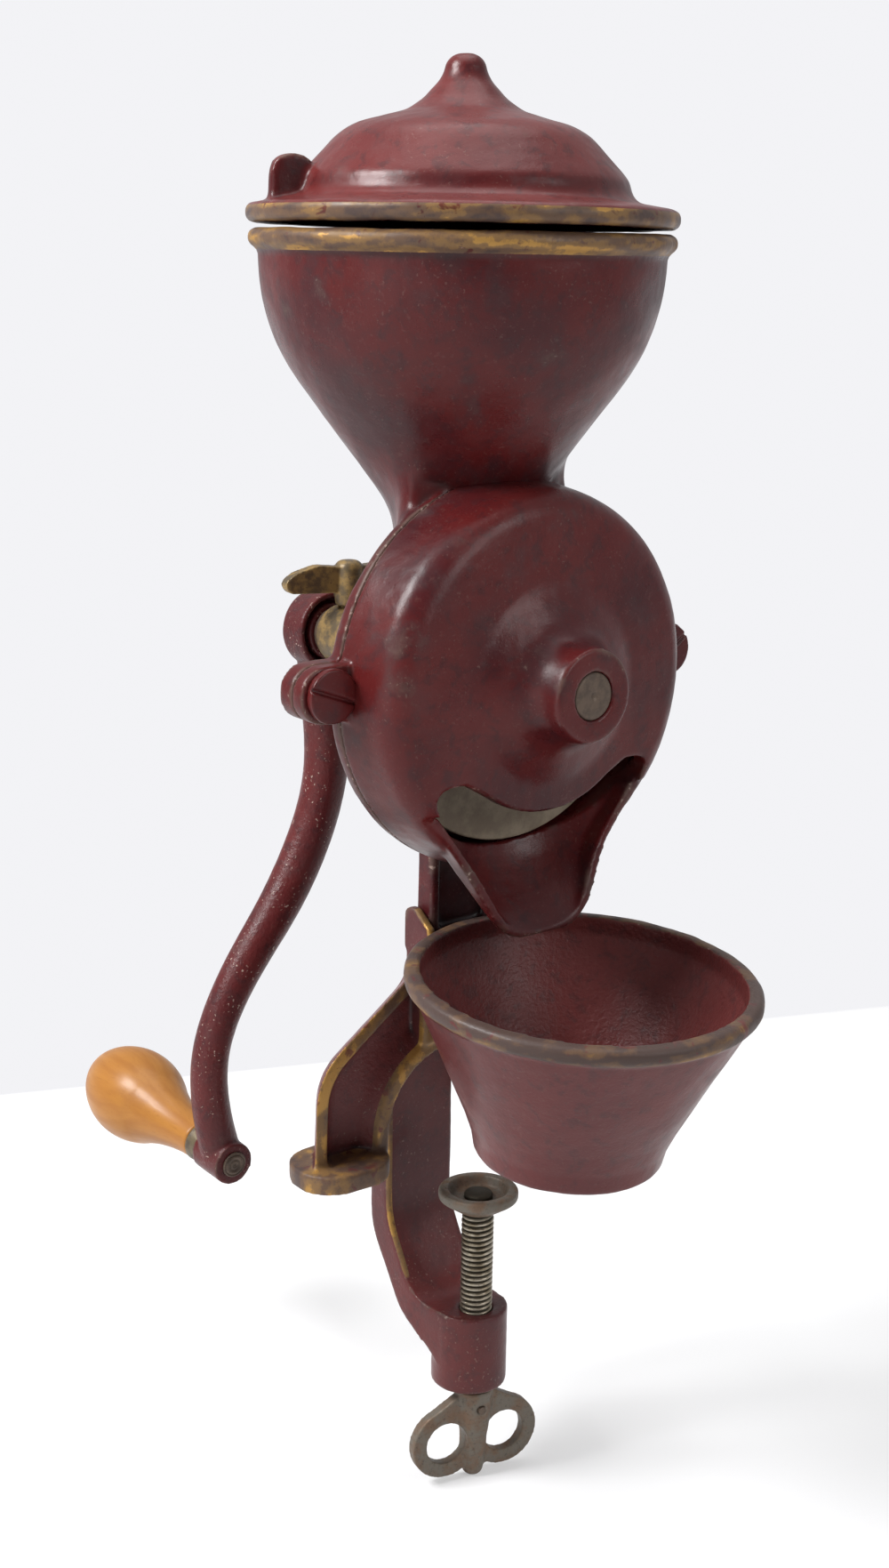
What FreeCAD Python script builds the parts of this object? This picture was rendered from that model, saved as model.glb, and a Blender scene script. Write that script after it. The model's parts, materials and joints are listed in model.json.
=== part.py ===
"""Manual coffee grinder that clamps to a table edge, as a parametric document in millimetres.

The frame's origin is on the clamp screw's axis, at the height of the table top that the
feet stand on. +Z is up, the receiving cup is at the front (-Y) and the crank at the back (+Y).
"""
import FreeCAD, Part
import Sketcher
import math
import os

# Driving dimensions: alias, value in millimetres, degrees or a count, and what it is
DIMENSIONS = [
    ("rim_height", 258.0, "hopper rim above the table top"),
    ("hopper_setback", 15.6, "hopper axis behind the clamp screw axis"),
    ("shaft_drop", 114.6, "spindle axis below the hopper rim"),
    ("casting_wall", 3.2, "wall of the iron castings"),
    ("running_clearance", 0.06, "radial gap of a shaft that turns in a bore"),
    ("loose_clearance", 0.3, "gap between pieces that slide past each other"),
    ("face_clearance", 0.15, "gap between flat faces that turn on each other"),
    ("bead_radius", 57.5, "outside of the hopper rim bead"),
    ("bead_height", 5.0, "height of the rim bead"),
    ("bowl_radius", 54.8, "outside of the hopper bowl below the bead"),
    ("bowl_bend_drop", 23.7, "depth at which the bowl turns into its cone"),
    ("bowl_bend_radius", 60.0, "radius of that turn"),
    ("bowl_foot_radius", 15.5, "outside of the cone's lower end"),
    ("bowl_foot_drop", 76.0, "depth of the cone's lower end"),
    ("neck_half_width", 29.3, "half width of the neck in front of the cone"),
    ("neck_front", 21.5, "how far the neck bulges in front of the hopper axis"),
    ("throat_radius", 10.5, "hole from the hopper down to the feed worm"),
    ("throat_setback", 4.0, "throat behind the hopper axis"),
    ("parting_front", 18.5, "joint of cover and casing in front of the hopper axis"),
    ("case_radius", 54.0, "outside of the casing at that joint"),
    ("case_band", 4.5, "straight band of the casing behind the joint"),
    ("case_shoulder_back", 10.0, "place of the shoulder behind the hopper axis"),
    ("case_shoulder_radius", 24.0, "radius of the shoulder"),
    ("case_tail_back", 36.0, "end of the rear boss behind the hopper axis"),
    ("case_tail_radius", 11.5, "outside of the rear boss"),
    ("ear_reach", 68.5, "tip of the bolting ears from the middle"),
    ("ear_half_height", 7.5, "half height of the ears"),
    ("ear_back", 6.0, "thickness of the casing's ears"),
    ("ear_front", 4.5, "thickness of the cover's ears"),
    ("ear_screw_inset", 8.7, "cover screw axis in from the ear's tip"),
    ("ear_raise", 1.2, "middle of the ears above the spindle axis"),
    ("cover_screw_radius", 2.5, "shank of the cover screws"),
    ("cover_screw_head", 7.2, "head radius of the cover screws"),
    ("cover_rim_front", 39.5, "front plane of the cover's rim"),
    ("cover_face_radius", 51.5, "cover radius at that plane"),
    ("boss_reach", 58.0, "end of the front boss in front of the hopper axis"),
    ("boss_radius", 12.6, "outside of the front boss"),
    ("chamber_radius", 47.4, "inside of the cover"),
    ("mouth_radius", 34.5, "upper lip of the discharge mouth, about the spindle"),
    ("mouth_half_width", 39.0, "half width of the discharge mouth"),
    ("chin_notch", 28.0, "half width of the face that hangs down to the upper lip"),
    ("chin_front", 36.4, "front of the cover beside the spout"),
    ("spout_drop", 69.0, "tip of the spout below the spindle axis"),
    ("spout_reach", 41.0, "tip of the spout in front of the hopper axis"),
    ("spindle_radius", 6.5, "front journal and burr seat of the spindle"),
    ("spindle_rear_radius", 5.5, "rear journal of the spindle"),
    ("crank_seat_radius", 5.0, "spindle inside the crank hub"),
    ("spindle_thread_radius", 4.0, "threaded end of the spindle"),
    ("collar_radius", 7.6, "thrust collar of the spindle"),
    ("worm_core_radius", 9.2, "core of the feed worm"),
    ("worm_radius", 13.2, "outside of the feed worm's flight"),
    ("worm_pitch", 11.0, "pitch of the flight"),
    ("worm_bore_radius", 14.2, "bore of the casing round the worm"),
    ("worm_length", 26.0, "length of the feed worm"),
    ("burr_radius", 45.5, "outside of the turning burr"),
    ("fixed_burr_radius", 44.0, "outside of the fixed burr"),
    ("burr_eye_radius", 15.0, "hole in the middle of the fixed burr"),
    ("burr_thickness", 6.5, "thickness of the fixed burr"),
    ("grind_gap", 0.8, "gap between the burrs' faces at rest"),
    ("burr_groove_width", 1.8, "width of the cutting grooves"),
    ("burr_groove_depth", 1.4, "depth of the cutting grooves"),
    ("burr_groove_count", 24, "number of cutting grooves"),
    ("burr_screw_circle", 30.0, "radius of the fixed burr's screw circle"),
    ("burr_screw_radius", 2.0, "shank of those screws"),
    ("burr_screw_count", 3, "number of those screws"),
    ("drive_pin_radius", 1.6, "cross pin through the turning burr's hub"),
    ("nut_radius", 9.0, "outside of the adjusting nut"),
    ("nut_spigot_radius", 7.8, "threaded spigot of the adjusting nut"),
    ("nut_spigot_length", 11.0, "length of that spigot"),
    ("nut_end_back", 55.0, "rear face of the adjusting nut behind the hopper axis"),
    ("adjust_travel", 0.375, "spindle travel for a quarter turn of the nut"),
    ("wing_setback", 50.5, "wing screw behind the hopper axis"),
    ("wing_hub_radius", 4.6, "hub of the wing screw"),
    ("wing_shank_radius", 2.5, "shank of the wing screw"),
    ("wing_span", 21.6, "tip of a wing from the screw's axis"),
    ("wing_thickness", 4.0, "thickness of the wings"),
    ("wing_height", 13.4, "height of the wing screw above the nut"),
    ("wing_turn", -11.0, "turn of the wing screw about its axis at rest"),
    ("crank_front", 58.0, "front face of the crank hub behind the hopper axis"),
    ("crank_thickness", 11.0, "length of the crank hub"),
    ("crank_washer_thickness", 1.2, "thickness of the crank washer"),
    ("crank_washer_radius", 9.0, "outside of the crank washer"),
    ("crank_nut_height", 3.8, "height of the crank nut"),
    ("crank_nut_flats", 13.0, "width of the crank nut across its flats"),
    ("crank_hub_radius", 12.0, "outside of the crank hub"),
    ("crank_arm_radius", 6.0, "half thickness of the crank arm"),
    ("crank_side", 37.2, "handle axis beside the spindle axis"),
    ("crank_drop", 162.6, "handle axis below the spindle axis"),
    ("crank_end_radius", 6.7, "boss at the crank's end"),
    ("stud_radius", 3.2, "handle stud"),
    ("handle_tilt", 3.9, "how far the handle's outer end stands up"),
    ("grip_length", 58.0, "length of the wooden grip"),
    ("grip_radius", 14.7, "largest radius of the grip"),
    ("grip_recess", 3.0, "recess in the grip's end for the stud's head"),
    ("grip_neck_radius", 6.0, "radius of the grip at its ferrule"),
    ("ferrule_length", 5.0, "metal ferrule between crank and grip"),
    ("stem_half_width", 11.6, "half width of the stem under the casing"),
    ("stem_thickness", 7.5, "depth of the stem, front to back"),
    ("stem_back", 1.5, "rear face of the stem behind the hopper axis"),
    ("stem_screw_drop", 7.0, "screw through the tongue, below the joint"),
    ("stem_screw_radius", 2.1, "shank of that screw"),
    ("joint_drop", 193.5, "joint of stem and clamp frame below the rim"),
    ("tongue_length", 15.0, "tongue of the stem inside the frame"),
    ("head_half_width", 14.8, "half width of the clamp frame's head"),
    ("head_back", 2.5, "rear face of that head behind the hopper axis"),
    ("head_thickness", 10.5, "depth of that head, front to back"),
    ("cheek_height", 9.5, "cheeks of the head beside the stem, above the joint"),
    ("leg_half_span", 52.5, "outside of the legs from the middle, at their front"),
    ("arch_half_width", 26.0, "inside of the arch between the legs, at its front"),
    ("arch_drop", 226.0, "top of the arch below the rim, at its front"),
    ("leg_front", 6.5, "front edge of the legs in front of the hopper axis"),
    ("leg_back", 2.5, "rear face of the legs behind the hopper axis"),
    ("leg_rim", 4.2, "raised edge of the legs"),
    ("leg_web", 3.4, "thickness behind the hollow of the legs"),
    ("leg_draft", 34.0, "slope of the legs' sides, which are closer together behind"),
    ("foot_offset", 41.5, "centre of each foot from the middle"),
    ("foot_setforward", 3.5, "centre of each foot in front of the hopper axis"),
    ("foot_length", 29.0, "length of each foot"),
    ("foot_depth", 24.0, "depth of each foot"),
    ("foot_thickness", 5.5, "thickness of each foot"),
    ("spine_half_width", 12.4, "half width of the frame's spine"),
    ("spine_front", 12.2, "inner face of the spine behind the hopper axis"),
    ("spine_depth", 8.6, "depth of the spine"),
    ("spine_taper", 14.0, "length over which the spine narrows to the screw's boss"),
    ("nut_boss_radius", 11.2, "boss that the clamp screw passes through"),
    ("nut_boss_setback", 2.8, "middle of that boss behind the screw's axis"),
    ("nut_boss_top", 48.6, "top of that boss below the table top"),
    ("nut_boss_bottom", 73.0, "bottom of that boss below the table top"),
    ("screw_radius", 4.76, "outside of the clamp screw's thread"),
    ("screw_pitch", 1.5875, "pitch of that thread"),
    ("spigot_radius", 3.1, "spigot of the screw inside the pad"),
    ("pad_gap", 10.5, "pad face below the feet at rest"),
    ("pad_radius", 11.75, "outside of the clamp pad"),
    ("pad_height", 7.0, "height of the clamp pad"),
    ("key_gap", 1.6, "gap between the boss and the key's hub at rest"),
    ("key_pin_radius", 1.2, "rivet through the key's hub"),
    ("key_hub_radius", 5.8, "top of the key's hub"),
    ("key_spigot_radius", 3.0, "end of the screw inside that hub"),
    ("key_spigot_length", 10.0, "length of that end"),
    ("key_turn", -12.5, "turn of the key about the screw's axis at rest"),
    ("key_thickness", 3.5, "thickness of the key plate"),
    ("key_loop_radius", 11.0, "outside of each loop of the key"),
    ("key_hole_radius", 6.5, "hole of each loop"),
    ("key_loop_offset", 9.6, "centre of each loop from the screw's axis"),
    ("key_centre_drop", 91.0, "centre of the loops below the table top"),
    ("cup_radius", 48.7, "outside of the cup's rim"),
    ("cup_height", 50.5, "height of the cup"),
    ("cup_foot_radius", 26.5, "foot of the cup"),
    ("cup_roll", 2.2, "radius of the cup's rolled rim"),
    ("cup_forward", 57.6, "cup axis in front of the hopper axis"),
    ("cup_rim_drop", 193.1, "cup rim below the hopper rim"),
    ("cup_tilt", 4.7, "how far the cup leans to the front"),
    ("cup_wall", 2.8, "wall of the cup"),
    ("hook_half_width", 9.5, "half width of the bracket that the cup hangs on"),
    ("hook_top_drop", 207.0, "top of that bracket below the rim"),
    ("hook_height", 14.0, "height of that bracket"),
    ("lid_gap", 0.15, "gap under the lid at the tip of its lug"),
    ("lid_tilt", 0.8, "how far the lid stands up at the side away from its lug"),
    ("lid_edge", 4.8, "thickness of the lid's flange"),
    ("lid_overhang", 0.5, "how far the lid's flange stands out past the bead"),
    ("lid_height", 44.2, "top of the knob above the lid's underside"),
    ("lid_tab_height", 12.3, "height of the thumb tab above the flange"),
    ("lid_tab_thickness", 4.6, "thickness of the thumb tab"),
    ("lid_knob_radius", 4.9, "radius of the knob"),
    ("lid_pivot_radius", 62.0, "lid rivet from the hopper axis"),
    ("lid_pivot_angle", 45.0, "direction of the lid rivet, from +X towards +Y"),
    ("lid_tab_angle", 161.0, "direction of the thumb tab, from +X towards +Y"),
    ("rivet_radius", 2.5, "shank of the lid rivet"),
    ("lug_radius", 6.5, "lugs of lid and hopper round the rivet"),
]


class Size:
    """A number together with the formula, in the sheet's aliases, that it comes from."""

    def __init__(self, number, formula):
        self.number = float(number)
        self.formula = formula

    def __add__(self, other):
        other = as_size(other)
        return Size(self.number + other.number, f"({self.formula} + {other.formula})")

    def __sub__(self, other):
        other = as_size(other)
        return Size(self.number - other.number, f"({self.formula} - {other.formula})")

    def __mul__(self, other):
        other = as_size(other)
        return Size(self.number * other.number, f"({self.formula} * {other.formula})")

    def __truediv__(self, other):
        other = as_size(other)
        return Size(self.number / other.number, f"({self.formula} / {other.formula})")

    def __radd__(self, other):
        return as_size(other) + self

    def __rsub__(self, other):
        return as_size(other) - self

    def __rmul__(self, other):
        return as_size(other) * self

    def __neg__(self):
        return as_size(0) - self


def as_size(value):
    """Turns a plain number into a Size."""
    if isinstance(value, Size):
        return value
    return Size(value, repr(float(value)))


def root(value):
    """Square root of a Size."""
    return Size(math.sqrt(value.number), f"sqrt({value.formula})")


def cosine(angle):
    """Cosine of a Size in degrees."""
    return Size(math.cos(math.radians(angle.number)), f"cos({angle.formula})")


def sine(angle):
    """Sine of a Size in degrees."""
    return Size(math.sin(math.radians(angle.number)), f"sin({angle.formula})")


def make_sheet(document):
    """Writes the driving dimensions into a spreadsheet and returns them as Sizes."""
    sheet = document.addObject("Spreadsheet::Sheet", "Sizes")
    sizes = {}
    for row, (alias, number, note) in enumerate(DIMENSIONS, start=1):
        sheet.set(f"A{row}", note)
        sheet.set(f"B{row}", str(number))
        sheet.setAlias(f"B{row}", alias)
        sizes[alias] = Size(number, f"Sizes.{alias}")
    return sizes


doc = FreeCAD.newDocument("CoffeeGrinder")
size = make_sheet(doc)
doc.recompute()

wall = size["casting_wall"]
running = size["running_clearance"]
loose = size["loose_clearance"]
facing = size["face_clearance"]

# Frames that several pieces share
HOPPER = (0, size["hopper_setback"], size["rim_height"])
SPINDLE = (0, size["hopper_setback"], size["rim_height"] - size["shaft_drop"])
CUP_RIM = (
    0,
    size["hopper_setback"] - size["cup_forward"],
    size["rim_height"] - size["cup_rim_drop"],
)


def bind(obj, path, value):
    """Ties one property of an object to the sheet."""
    obj.setExpression(path, as_size(value).formula)


def new_body(label, place=(0, 0, 0), axis=None, angle=0):
    """Makes one sub-part, placed and if need be turned about an axis through its origin."""
    body = doc.addObject("PartDesign::Body", label)
    body.Label = label
    if axis is not None:
        body.Placement = FreeCAD.Placement(
            FreeCAD.Vector(0, 0, 0), FreeCAD.Rotation(FreeCAD.Vector(*axis), 1.0)
        )
        bind(body, "Placement.Rotation.Angle", angle)
    for name, value in zip("xyz", place):
        bind(body, f"Placement.Base.{name}", value)
    return body


def corner(x, y, radius=0, via=None):
    """One corner of an outline: rounded, or the start of an arc through the point via."""
    point = (as_size(x), as_size(y))
    middle = None
    if via is not None:
        middle = (as_size(via[0]), as_size(via[1]))
    return {"point": point, "radius": as_size(radius), "via": middle}


def flat(point):
    """Plain vector of a point of Sizes."""
    return FreeCAD.Vector(point[0].number, point[1].number, 0)


def tie_point(sketch, index, vertex, point):
    """Fixes a vertex of a sketch at a point of Sizes."""
    for kind, value in zip(("DistanceX", "DistanceY"), point):
        tie = sketch.addConstraint(
            Sketcher.Constraint(kind, -1, 1, index, vertex, value.number)
        )
        bind(sketch, f"Constraints[{tie}]", value)


def rounded_ends(corners, index):
    """Start and end of the arc that rounds one corner of an outline."""
    here = flat(corners[index]["point"])
    before = flat(corners[index - 1]["point"]) - here
    after = flat(corners[(index + 1) % len(corners)]["point"]) - here
    before.normalize()
    after.normalize()
    half_angle = before.getAngle(after) / 2
    reach = corners[index]["radius"].number / math.tan(half_angle)
    return here + before * reach, here + after * reach, before + after


def trace(sketch, corners, closed=True):
    """Draws an outline of lines and arcs with every size of it tied to the sheet."""
    count = len(corners)
    entries = []
    exits = []
    for index, item in enumerate(corners):
        here = flat(item["point"])
        if item["radius"].number > 0:
            start, end, _ = rounded_ends(corners, index)
        else:
            start, end = here, here
        entries.append(start)
        exits.append(end)
    edges = []
    for index in range(count):
        start = exits[index]
        end = entries[(index + 1) % count]
        span = flat(corners[(index + 1) % count]["point"]) - flat(corners[index]["point"])
        if (end - start).dot(span) <= 0:
            raise RuntimeError(f"{sketch.Name}: corners {index} and {index + 1} overlap")
        via = corners[index]["via"]
        if via is None:
            edges.append(sketch.addGeometry(Part.LineSegment(start, end), False))
            continue
        edge = sketch.addGeometry(arc_through(start, flat(via), end), False)
        edges.append(edge)
        guide = sketch.addGeometry(Part.Point(flat(via)), True)
        tie_point(sketch, guide, 1, via)
        sketch.addConstraint(Sketcher.Constraint("PointOnObject", guide, 1, edge))
    for index in range(count):
        join_corner(sketch, corners, edges, index)


def edge_vertex(sketch, edge, target):
    """Number of the end vertex of an edge that lies at the target."""
    first = sketch.getPoint(edge, 1).distanceToPoint(target)
    last = sketch.getPoint(edge, 2).distanceToPoint(target)
    return 1 if first < last else 2


def arc_through(start, middle, end):
    """Arc of a circle through three points, always counter-clockwise."""
    before = middle - start
    after = end - middle
    if before.x * after.y - before.y * after.x < 0:
        start, end = end, start
    curve = Part.Arc(start, middle, end).toShape().Curve
    centre = curve.Center
    angles = [math.atan2(point.y - centre.y, point.x - centre.x) for point in (start, end)]
    if angles[1] < angles[0]:
        angles[1] += 2 * math.pi
    circle = Part.Circle(centre, FreeCAD.Vector(0, 0, 1), curve.Radius)
    return Part.ArcOfCircle(circle, angles[0], angles[1])


def join_corner(sketch, corners, edges, index):
    """Joins the two edges of a corner, sharp or with a tangent arc."""
    before = edges[index - 1]
    after = edges[index]
    item = corners[index]
    if item["radius"].number <= 0:
        here = flat(item["point"])
        last = edge_vertex(sketch, before, here)
        first = edge_vertex(sketch, after, here)
        sketch.addConstraint(Sketcher.Constraint("Coincident", before, last, after, first))
        tie_point(sketch, after, first, item["point"])
        return
    start, end, inward = rounded_ends(corners, index)
    here = flat(item["point"])
    inward.normalize()
    reach = start.distanceToPoint(here)
    radius = item["radius"].number
    middle = here + inward * (math.hypot(reach, radius) - radius)
    arc = sketch.addGeometry(arc_through(start, middle, end), False)
    tip = sketch.addGeometry(Part.Point(here), True)
    tie_point(sketch, tip, 1, item["point"])
    for edge, place in ((before, start), (after, end)):
        sketch.addConstraint(Sketcher.Constraint("PointOnObject", tip, 1, edge))
        sketch.addConstraint(
            Sketcher.Constraint(
                "Tangent",
                edge,
                edge_vertex(sketch, edge, place),
                arc,
                edge_vertex(sketch, arc, place),
            )
        )
    tie = sketch.addConstraint(Sketcher.Constraint("Radius", arc, radius))
    bind(sketch, f"Constraints[{tie}]", item["radius"])


def new_sketch(body, name, role, shift=(0, 0, 0), turn_axis=None, turn=0):
    """Adds an empty sketch on one of the body's own origin planes."""
    sketch = body.newObject("Sketcher::SketchObject", name)
    for feature in body.Origin.OriginFeatures:
        if feature.Role == role:
            sketch.AttachmentSupport = (feature, [""])
    sketch.MapMode = "FlatFace"
    if turn_axis is not None:
        sketch.AttachmentOffset = FreeCAD.Placement(
            FreeCAD.Vector(0, 0, 0), FreeCAD.Rotation(FreeCAD.Vector(*turn_axis), 1.0)
        )
        bind(sketch, "AttachmentOffset.Rotation.Angle", turn)
    for axis, value in zip("xyz", shift):
        if as_size(value).formula != "0.0":
            bind(sketch, f"AttachmentOffset.Base.{axis}", value)
    return sketch


def outline_sketch(body, name, role, corners, shift=(0, 0, 0), turn_axis=None, turn=0):
    """Adds a sketch with one closed outline."""
    sketch = new_sketch(body, name, role, shift, turn_axis, turn)
    trace(sketch, corners)
    return sketch


def circle_sketch(body, name, role, circles, shift=(0, 0, 0), turn_axis=None, turn=0):
    """Adds a sketch of circles, each given as x, y and radius."""
    sketch = new_sketch(body, name, role, shift, turn_axis, turn)
    for x, y, radius in circles:
        centre = (as_size(x), as_size(y))
        radius = as_size(radius)
        ring = Part.Circle(flat(centre), FreeCAD.Vector(0, 0, 1), radius.number)
        edge = sketch.addGeometry(ring, False)
        tie_point(sketch, edge, 3, centre)
        tie = sketch.addConstraint(Sketcher.Constraint("Radius", edge, radius.number))
        bind(sketch, f"Constraints[{tie}]", radius)
    return sketch


def feature(body, kind, name, profile):
    """Adds a PartDesign feature with its profile."""
    made = body.newObject(f"PartDesign::{kind}", name)
    made.Profile = profile
    profile.Visibility = False
    return made


def turned(body, name, corners, axis="H_Axis", role="YZ_Plane", shift=(0, 0, 0), cut=False):
    """Turns an outline about an axis of its sketch, to add or to cut."""
    sketch = outline_sketch(body, f"{name}_outline", role, corners, shift)
    made = feature(body, "Groove" if cut else "Revolution", name, sketch)
    made.ReferenceAxis = (sketch, [axis])
    made.Angle = 360
    return made


def start_of(role, low, high, cut):
    """Sketch offset from which a pad or pocket fills the span low to high."""
    if role == "XZ_Plane":
        return -low if cut else -high
    return high if cut else low


def slab(body, name, role, shape, low, high, cut=False):
    """Pads or pockets a shape across a span of the axis normal to its plane."""
    low = as_size(low)
    high = as_size(high)
    shift = (0, 0, start_of(role, low, high, cut))
    if isinstance(shape[0], dict):
        sketch = outline_sketch(body, f"{name}_outline", role, shape, shift)
    else:
        sketch = circle_sketch(body, f"{name}_outline", role, shape, shift)
    made = feature(body, "Pocket" if cut else "Pad", name, sketch)
    bind(made, "Length", high - low)
    return made


def rounded_box(x_low, x_high, y_low, y_high, radius=0):
    """Outline of a rectangle, rounded if a radius is given."""
    places = ((x_low, y_low), (x_high, y_low), (x_high, y_high), (x_low, y_high))
    return [corner(x, y, radius) for x, y in places]


def polar_copies(body, name, original, role, count, angle=360):
    """Repeats a feature round an origin axis of the body."""
    doc.recompute()
    pattern = body.newObject("PartDesign::PolarPattern", name)
    pattern.Originals = [original]
    for item in body.Origin.OriginFeatures:
        if item.Role == role:
            pattern.Axis = (item, [""])
    pattern.Angle = angle
    bind(pattern, "Occurrences", count)
    body.Tip = pattern
    return pattern


def hopper_bowl(body):
    """Adds the outer shape of the hopper: rim bead, bowl and cone."""
    turned(
        body,
        "bowl",
        [
            corner(0, size["bead_height"] / 2),
            corner(size["bead_radius"], size["bead_height"] / 2, size["bead_height"] * 0.48),
            corner(size["bead_radius"], -size["bead_height"] / 2, size["bead_height"] * 0.48),
            corner(size["bowl_radius"], -size["bead_height"] / 2),
            corner(size["bowl_radius"], -size["bowl_bend_drop"], size["bowl_bend_radius"]),
            corner(size["bowl_foot_radius"], -size["bowl_foot_drop"]),
            corner(0, -size["bowl_foot_drop"]),
        ],
        axis="V_Axis",
    )


def hollow_bowl(body):
    """Cuts the inside of the hopper, parallel to its outside."""
    run = size["bowl_radius"] - size["bowl_foot_radius"]
    fall = size["bowl_foot_drop"] - size["bowl_bend_drop"]
    slope = root(run * run + fall * fall)
    inner_radius = size["bowl_radius"] - wall
    inner_bend = wall * (slope - fall) / run - size["bowl_bend_drop"]
    turned(
        body,
        "bowl_hollow",
        [
            corner(0, size["bead_height"]),
            corner(inner_radius, size["bead_height"]),
            corner(inner_radius, inner_bend, size["bowl_bend_radius"] - wall),
            corner(size["bowl_foot_radius"] - wall * slope / fall, -size["bowl_foot_drop"]),
            corner(0, -size["bowl_foot_drop"]),
        ],
        axis="V_Axis",
        cut=True,
    )


def pivot_place():
    """X and Y of the lid rivet from the hopper axis."""
    reach = size["lid_pivot_radius"]
    angle = size["lid_pivot_angle"]
    return reach * cosine(angle), reach * sine(angle)


def hopper_body():
    """Hopper, neck, rear casing, ears and stem, which are one casting."""
    body = new_body("hopper_body", HOPPER)
    drop = size["shaft_drop"]
    parting = size["parting_front"]
    hopper_bowl(body)
    neck(body)
    turned(
        body,
        "casing",
        [
            corner(-parting, 0),
            corner(-parting, size["case_radius"]),
            corner(-parting + size["case_band"], size["case_radius"] - 0.5, 3),
            corner(size["case_shoulder_back"], size["case_shoulder_radius"], 14),
            corner(size["case_tail_back"], size["case_tail_radius"], 1.2),
            corner(size["case_tail_back"], 0),
        ],
        shift=(0, -drop, 0),
    )
    ears(body, -parting, -parting + size["ear_back"], -drop)
    stem(body)
    pivot_x, pivot_y = pivot_place()
    bead_half = size["bead_height"] / 2
    lug = [(pivot_x, pivot_y, size["lug_radius"])]
    slab(body, "lid_lug", "XY_Plane", lug, -bead_half, bead_half)
    hollow_bowl(body)
    cut_burr_chamber(body)
    cut_throat(body)
    ear_holes(body, -parting, -parting + size["ear_back"], size["cover_screw_radius"], -drop)
    slab(
        body,
        "rivet_hole",
        "XY_Plane",
        [(pivot_x, pivot_y, size["rivet_radius"])],
        -size["bead_height"],
        size["bead_height"],
        cut=True,
    )
    height = -size["joint_drop"] - size["stem_screw_drop"]
    hole = [(0, height, size["stem_screw_radius"])]
    slab(body, "tongue_hole", "XZ_Plane", hole, -20, 20, cut=True)
    return body


def neck(body):
    """Adds the neck that joins the bowl's front to the casing."""
    half = size["neck_half_width"]
    back = size["case_shoulder_back"]
    shoulder = -(size["parting_front"] - 6)
    slab(
        body,
        "neck",
        "XY_Plane",
        [
            corner(-half, shoulder, via=(0, -size["neck_front"])),
            corner(half, shoulder),
            corner(half * 0.5, back, 5),
            corner(-half * 0.5, back, 5),
        ],
        -size["shaft_drop"] + size["case_radius"] * 0.5,
        -size["bowl_foot_drop"] + 25,
    )


def ears(body, low, high, height):
    """Adds a pair of bolting ears across the given depth."""
    tall = size["ear_half_height"]
    reach = size["ear_reach"]
    middle = height + size["ear_raise"]
    outline = rounded_box(-reach, reach, middle - tall, middle + tall, tall - 0.1)
    slab(body, "ears", "XZ_Plane", outline, low, high)


def stem(body):
    """Adds the flat stem under the casing and the tongue at its end."""
    half = size["stem_half_width"]
    front = stem_front()
    joint = -size["joint_drop"]
    top = -size["shaft_drop"] - size["case_shoulder_radius"]
    outline = rounded_box(-half, half, front, size["stem_back"], 1.5)
    slab(body, "stem", "XY_Plane", outline, joint, top)
    recess = rounded_box(-half + 2.8, half - 2.8, joint + 3, top - 8, 3)
    slab(body, "stem_recess", "XZ_Plane", recess, front - 1, front + 2.6, cut=True)
    tongue = rounded_box(-8, 8, front + 2.2, front + 5.8, 1)
    slab(body, "tongue", "XY_Plane", tongue, joint - size["tongue_length"], joint)


def stem_front():
    """Y of the stem's front face."""
    return size["stem_back"] - size["stem_thickness"]


def cut_burr_chamber(body):
    """Cuts the burr seat, the worm's bore and the bore for the adjusting nut."""
    parting = size["parting_front"]
    seat = burr_seat()
    worm_end = size["case_tail_back"] - size["nut_spigot_length"] - 3
    turned(
        body,
        "chamber",
        [
            corner(-parting - 1, 0),
            corner(-parting - 1, size["chamber_radius"]),
            corner(-parting + 2, size["chamber_radius"]),
            corner(seat, size["fixed_burr_radius"] + loose),
            corner(seat, size["worm_bore_radius"]),
            corner(worm_end, size["worm_bore_radius"]),
            corner(worm_end, size["nut_spigot_radius"] + running),
            corner(size["case_tail_back"] + 1, size["nut_spigot_radius"] + running),
            corner(size["case_tail_back"] + 1, 0),
        ],
        shift=(0, -size["shaft_drop"], 0),
        cut=True,
    )


def burr_seat():
    """Y of the casing face that the fixed burr sits on."""
    return -size["parting_front"] - 3 + size["burr_thickness"]


def cut_throat(body):
    """Cuts the hole that drops the beans from the hopper onto the worm."""
    slab(
        body,
        "throat",
        "XY_Plane",
        [(0, size["throat_setback"], size["throat_radius"])],
        -size["shaft_drop"],
        -size["bowl_foot_drop"] + 4,
        cut=True,
    )


def ear_holes(body, low, high, radius, height):
    """Cuts the cover screws' holes through both ears."""
    place = size["ear_reach"] - size["ear_screw_inset"]
    middle = height + size["ear_raise"]
    holes = [(-place, middle, radius), (place, middle, radius)]
    slab(body, "ear_holes", "XZ_Plane", holes, low - 1, high + 1, cut=True)


def spout_levels(inset):
    """Level sections of the spout: height, half width, front and rear, each inset."""
    drop_scale = size["spout_drop"] / SPOUT_SECTIONS[-1][0]
    reach_scale = size["spout_reach"] / SPOUT_SECTIONS[-1][2]
    levels = []
    for drop, half, front, back in SPOUT_SECTIONS:
        level = -(drop_scale * drop)
        edge = -(reach_scale * front) - inset * 0.4
        levels.append((level, half - inset, edge, -(inset + back)))
    return levels


SPOUT_SECTIONS = (
    # height below the spindle, half width, front edge, rear of the trough
    (31.4, 38.6, 36.5, 19.0),
    (42.0, 30.2, 37.0, 19.2),
    (52.0, 23.2, 38.0, 21.5),
    (61.0, 18.4, 40.0, 30.0),
    (66.5, 14.0, 40.7, 36.0),
    (69.0, 6.5, 41.0, 39.2),
)


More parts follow.
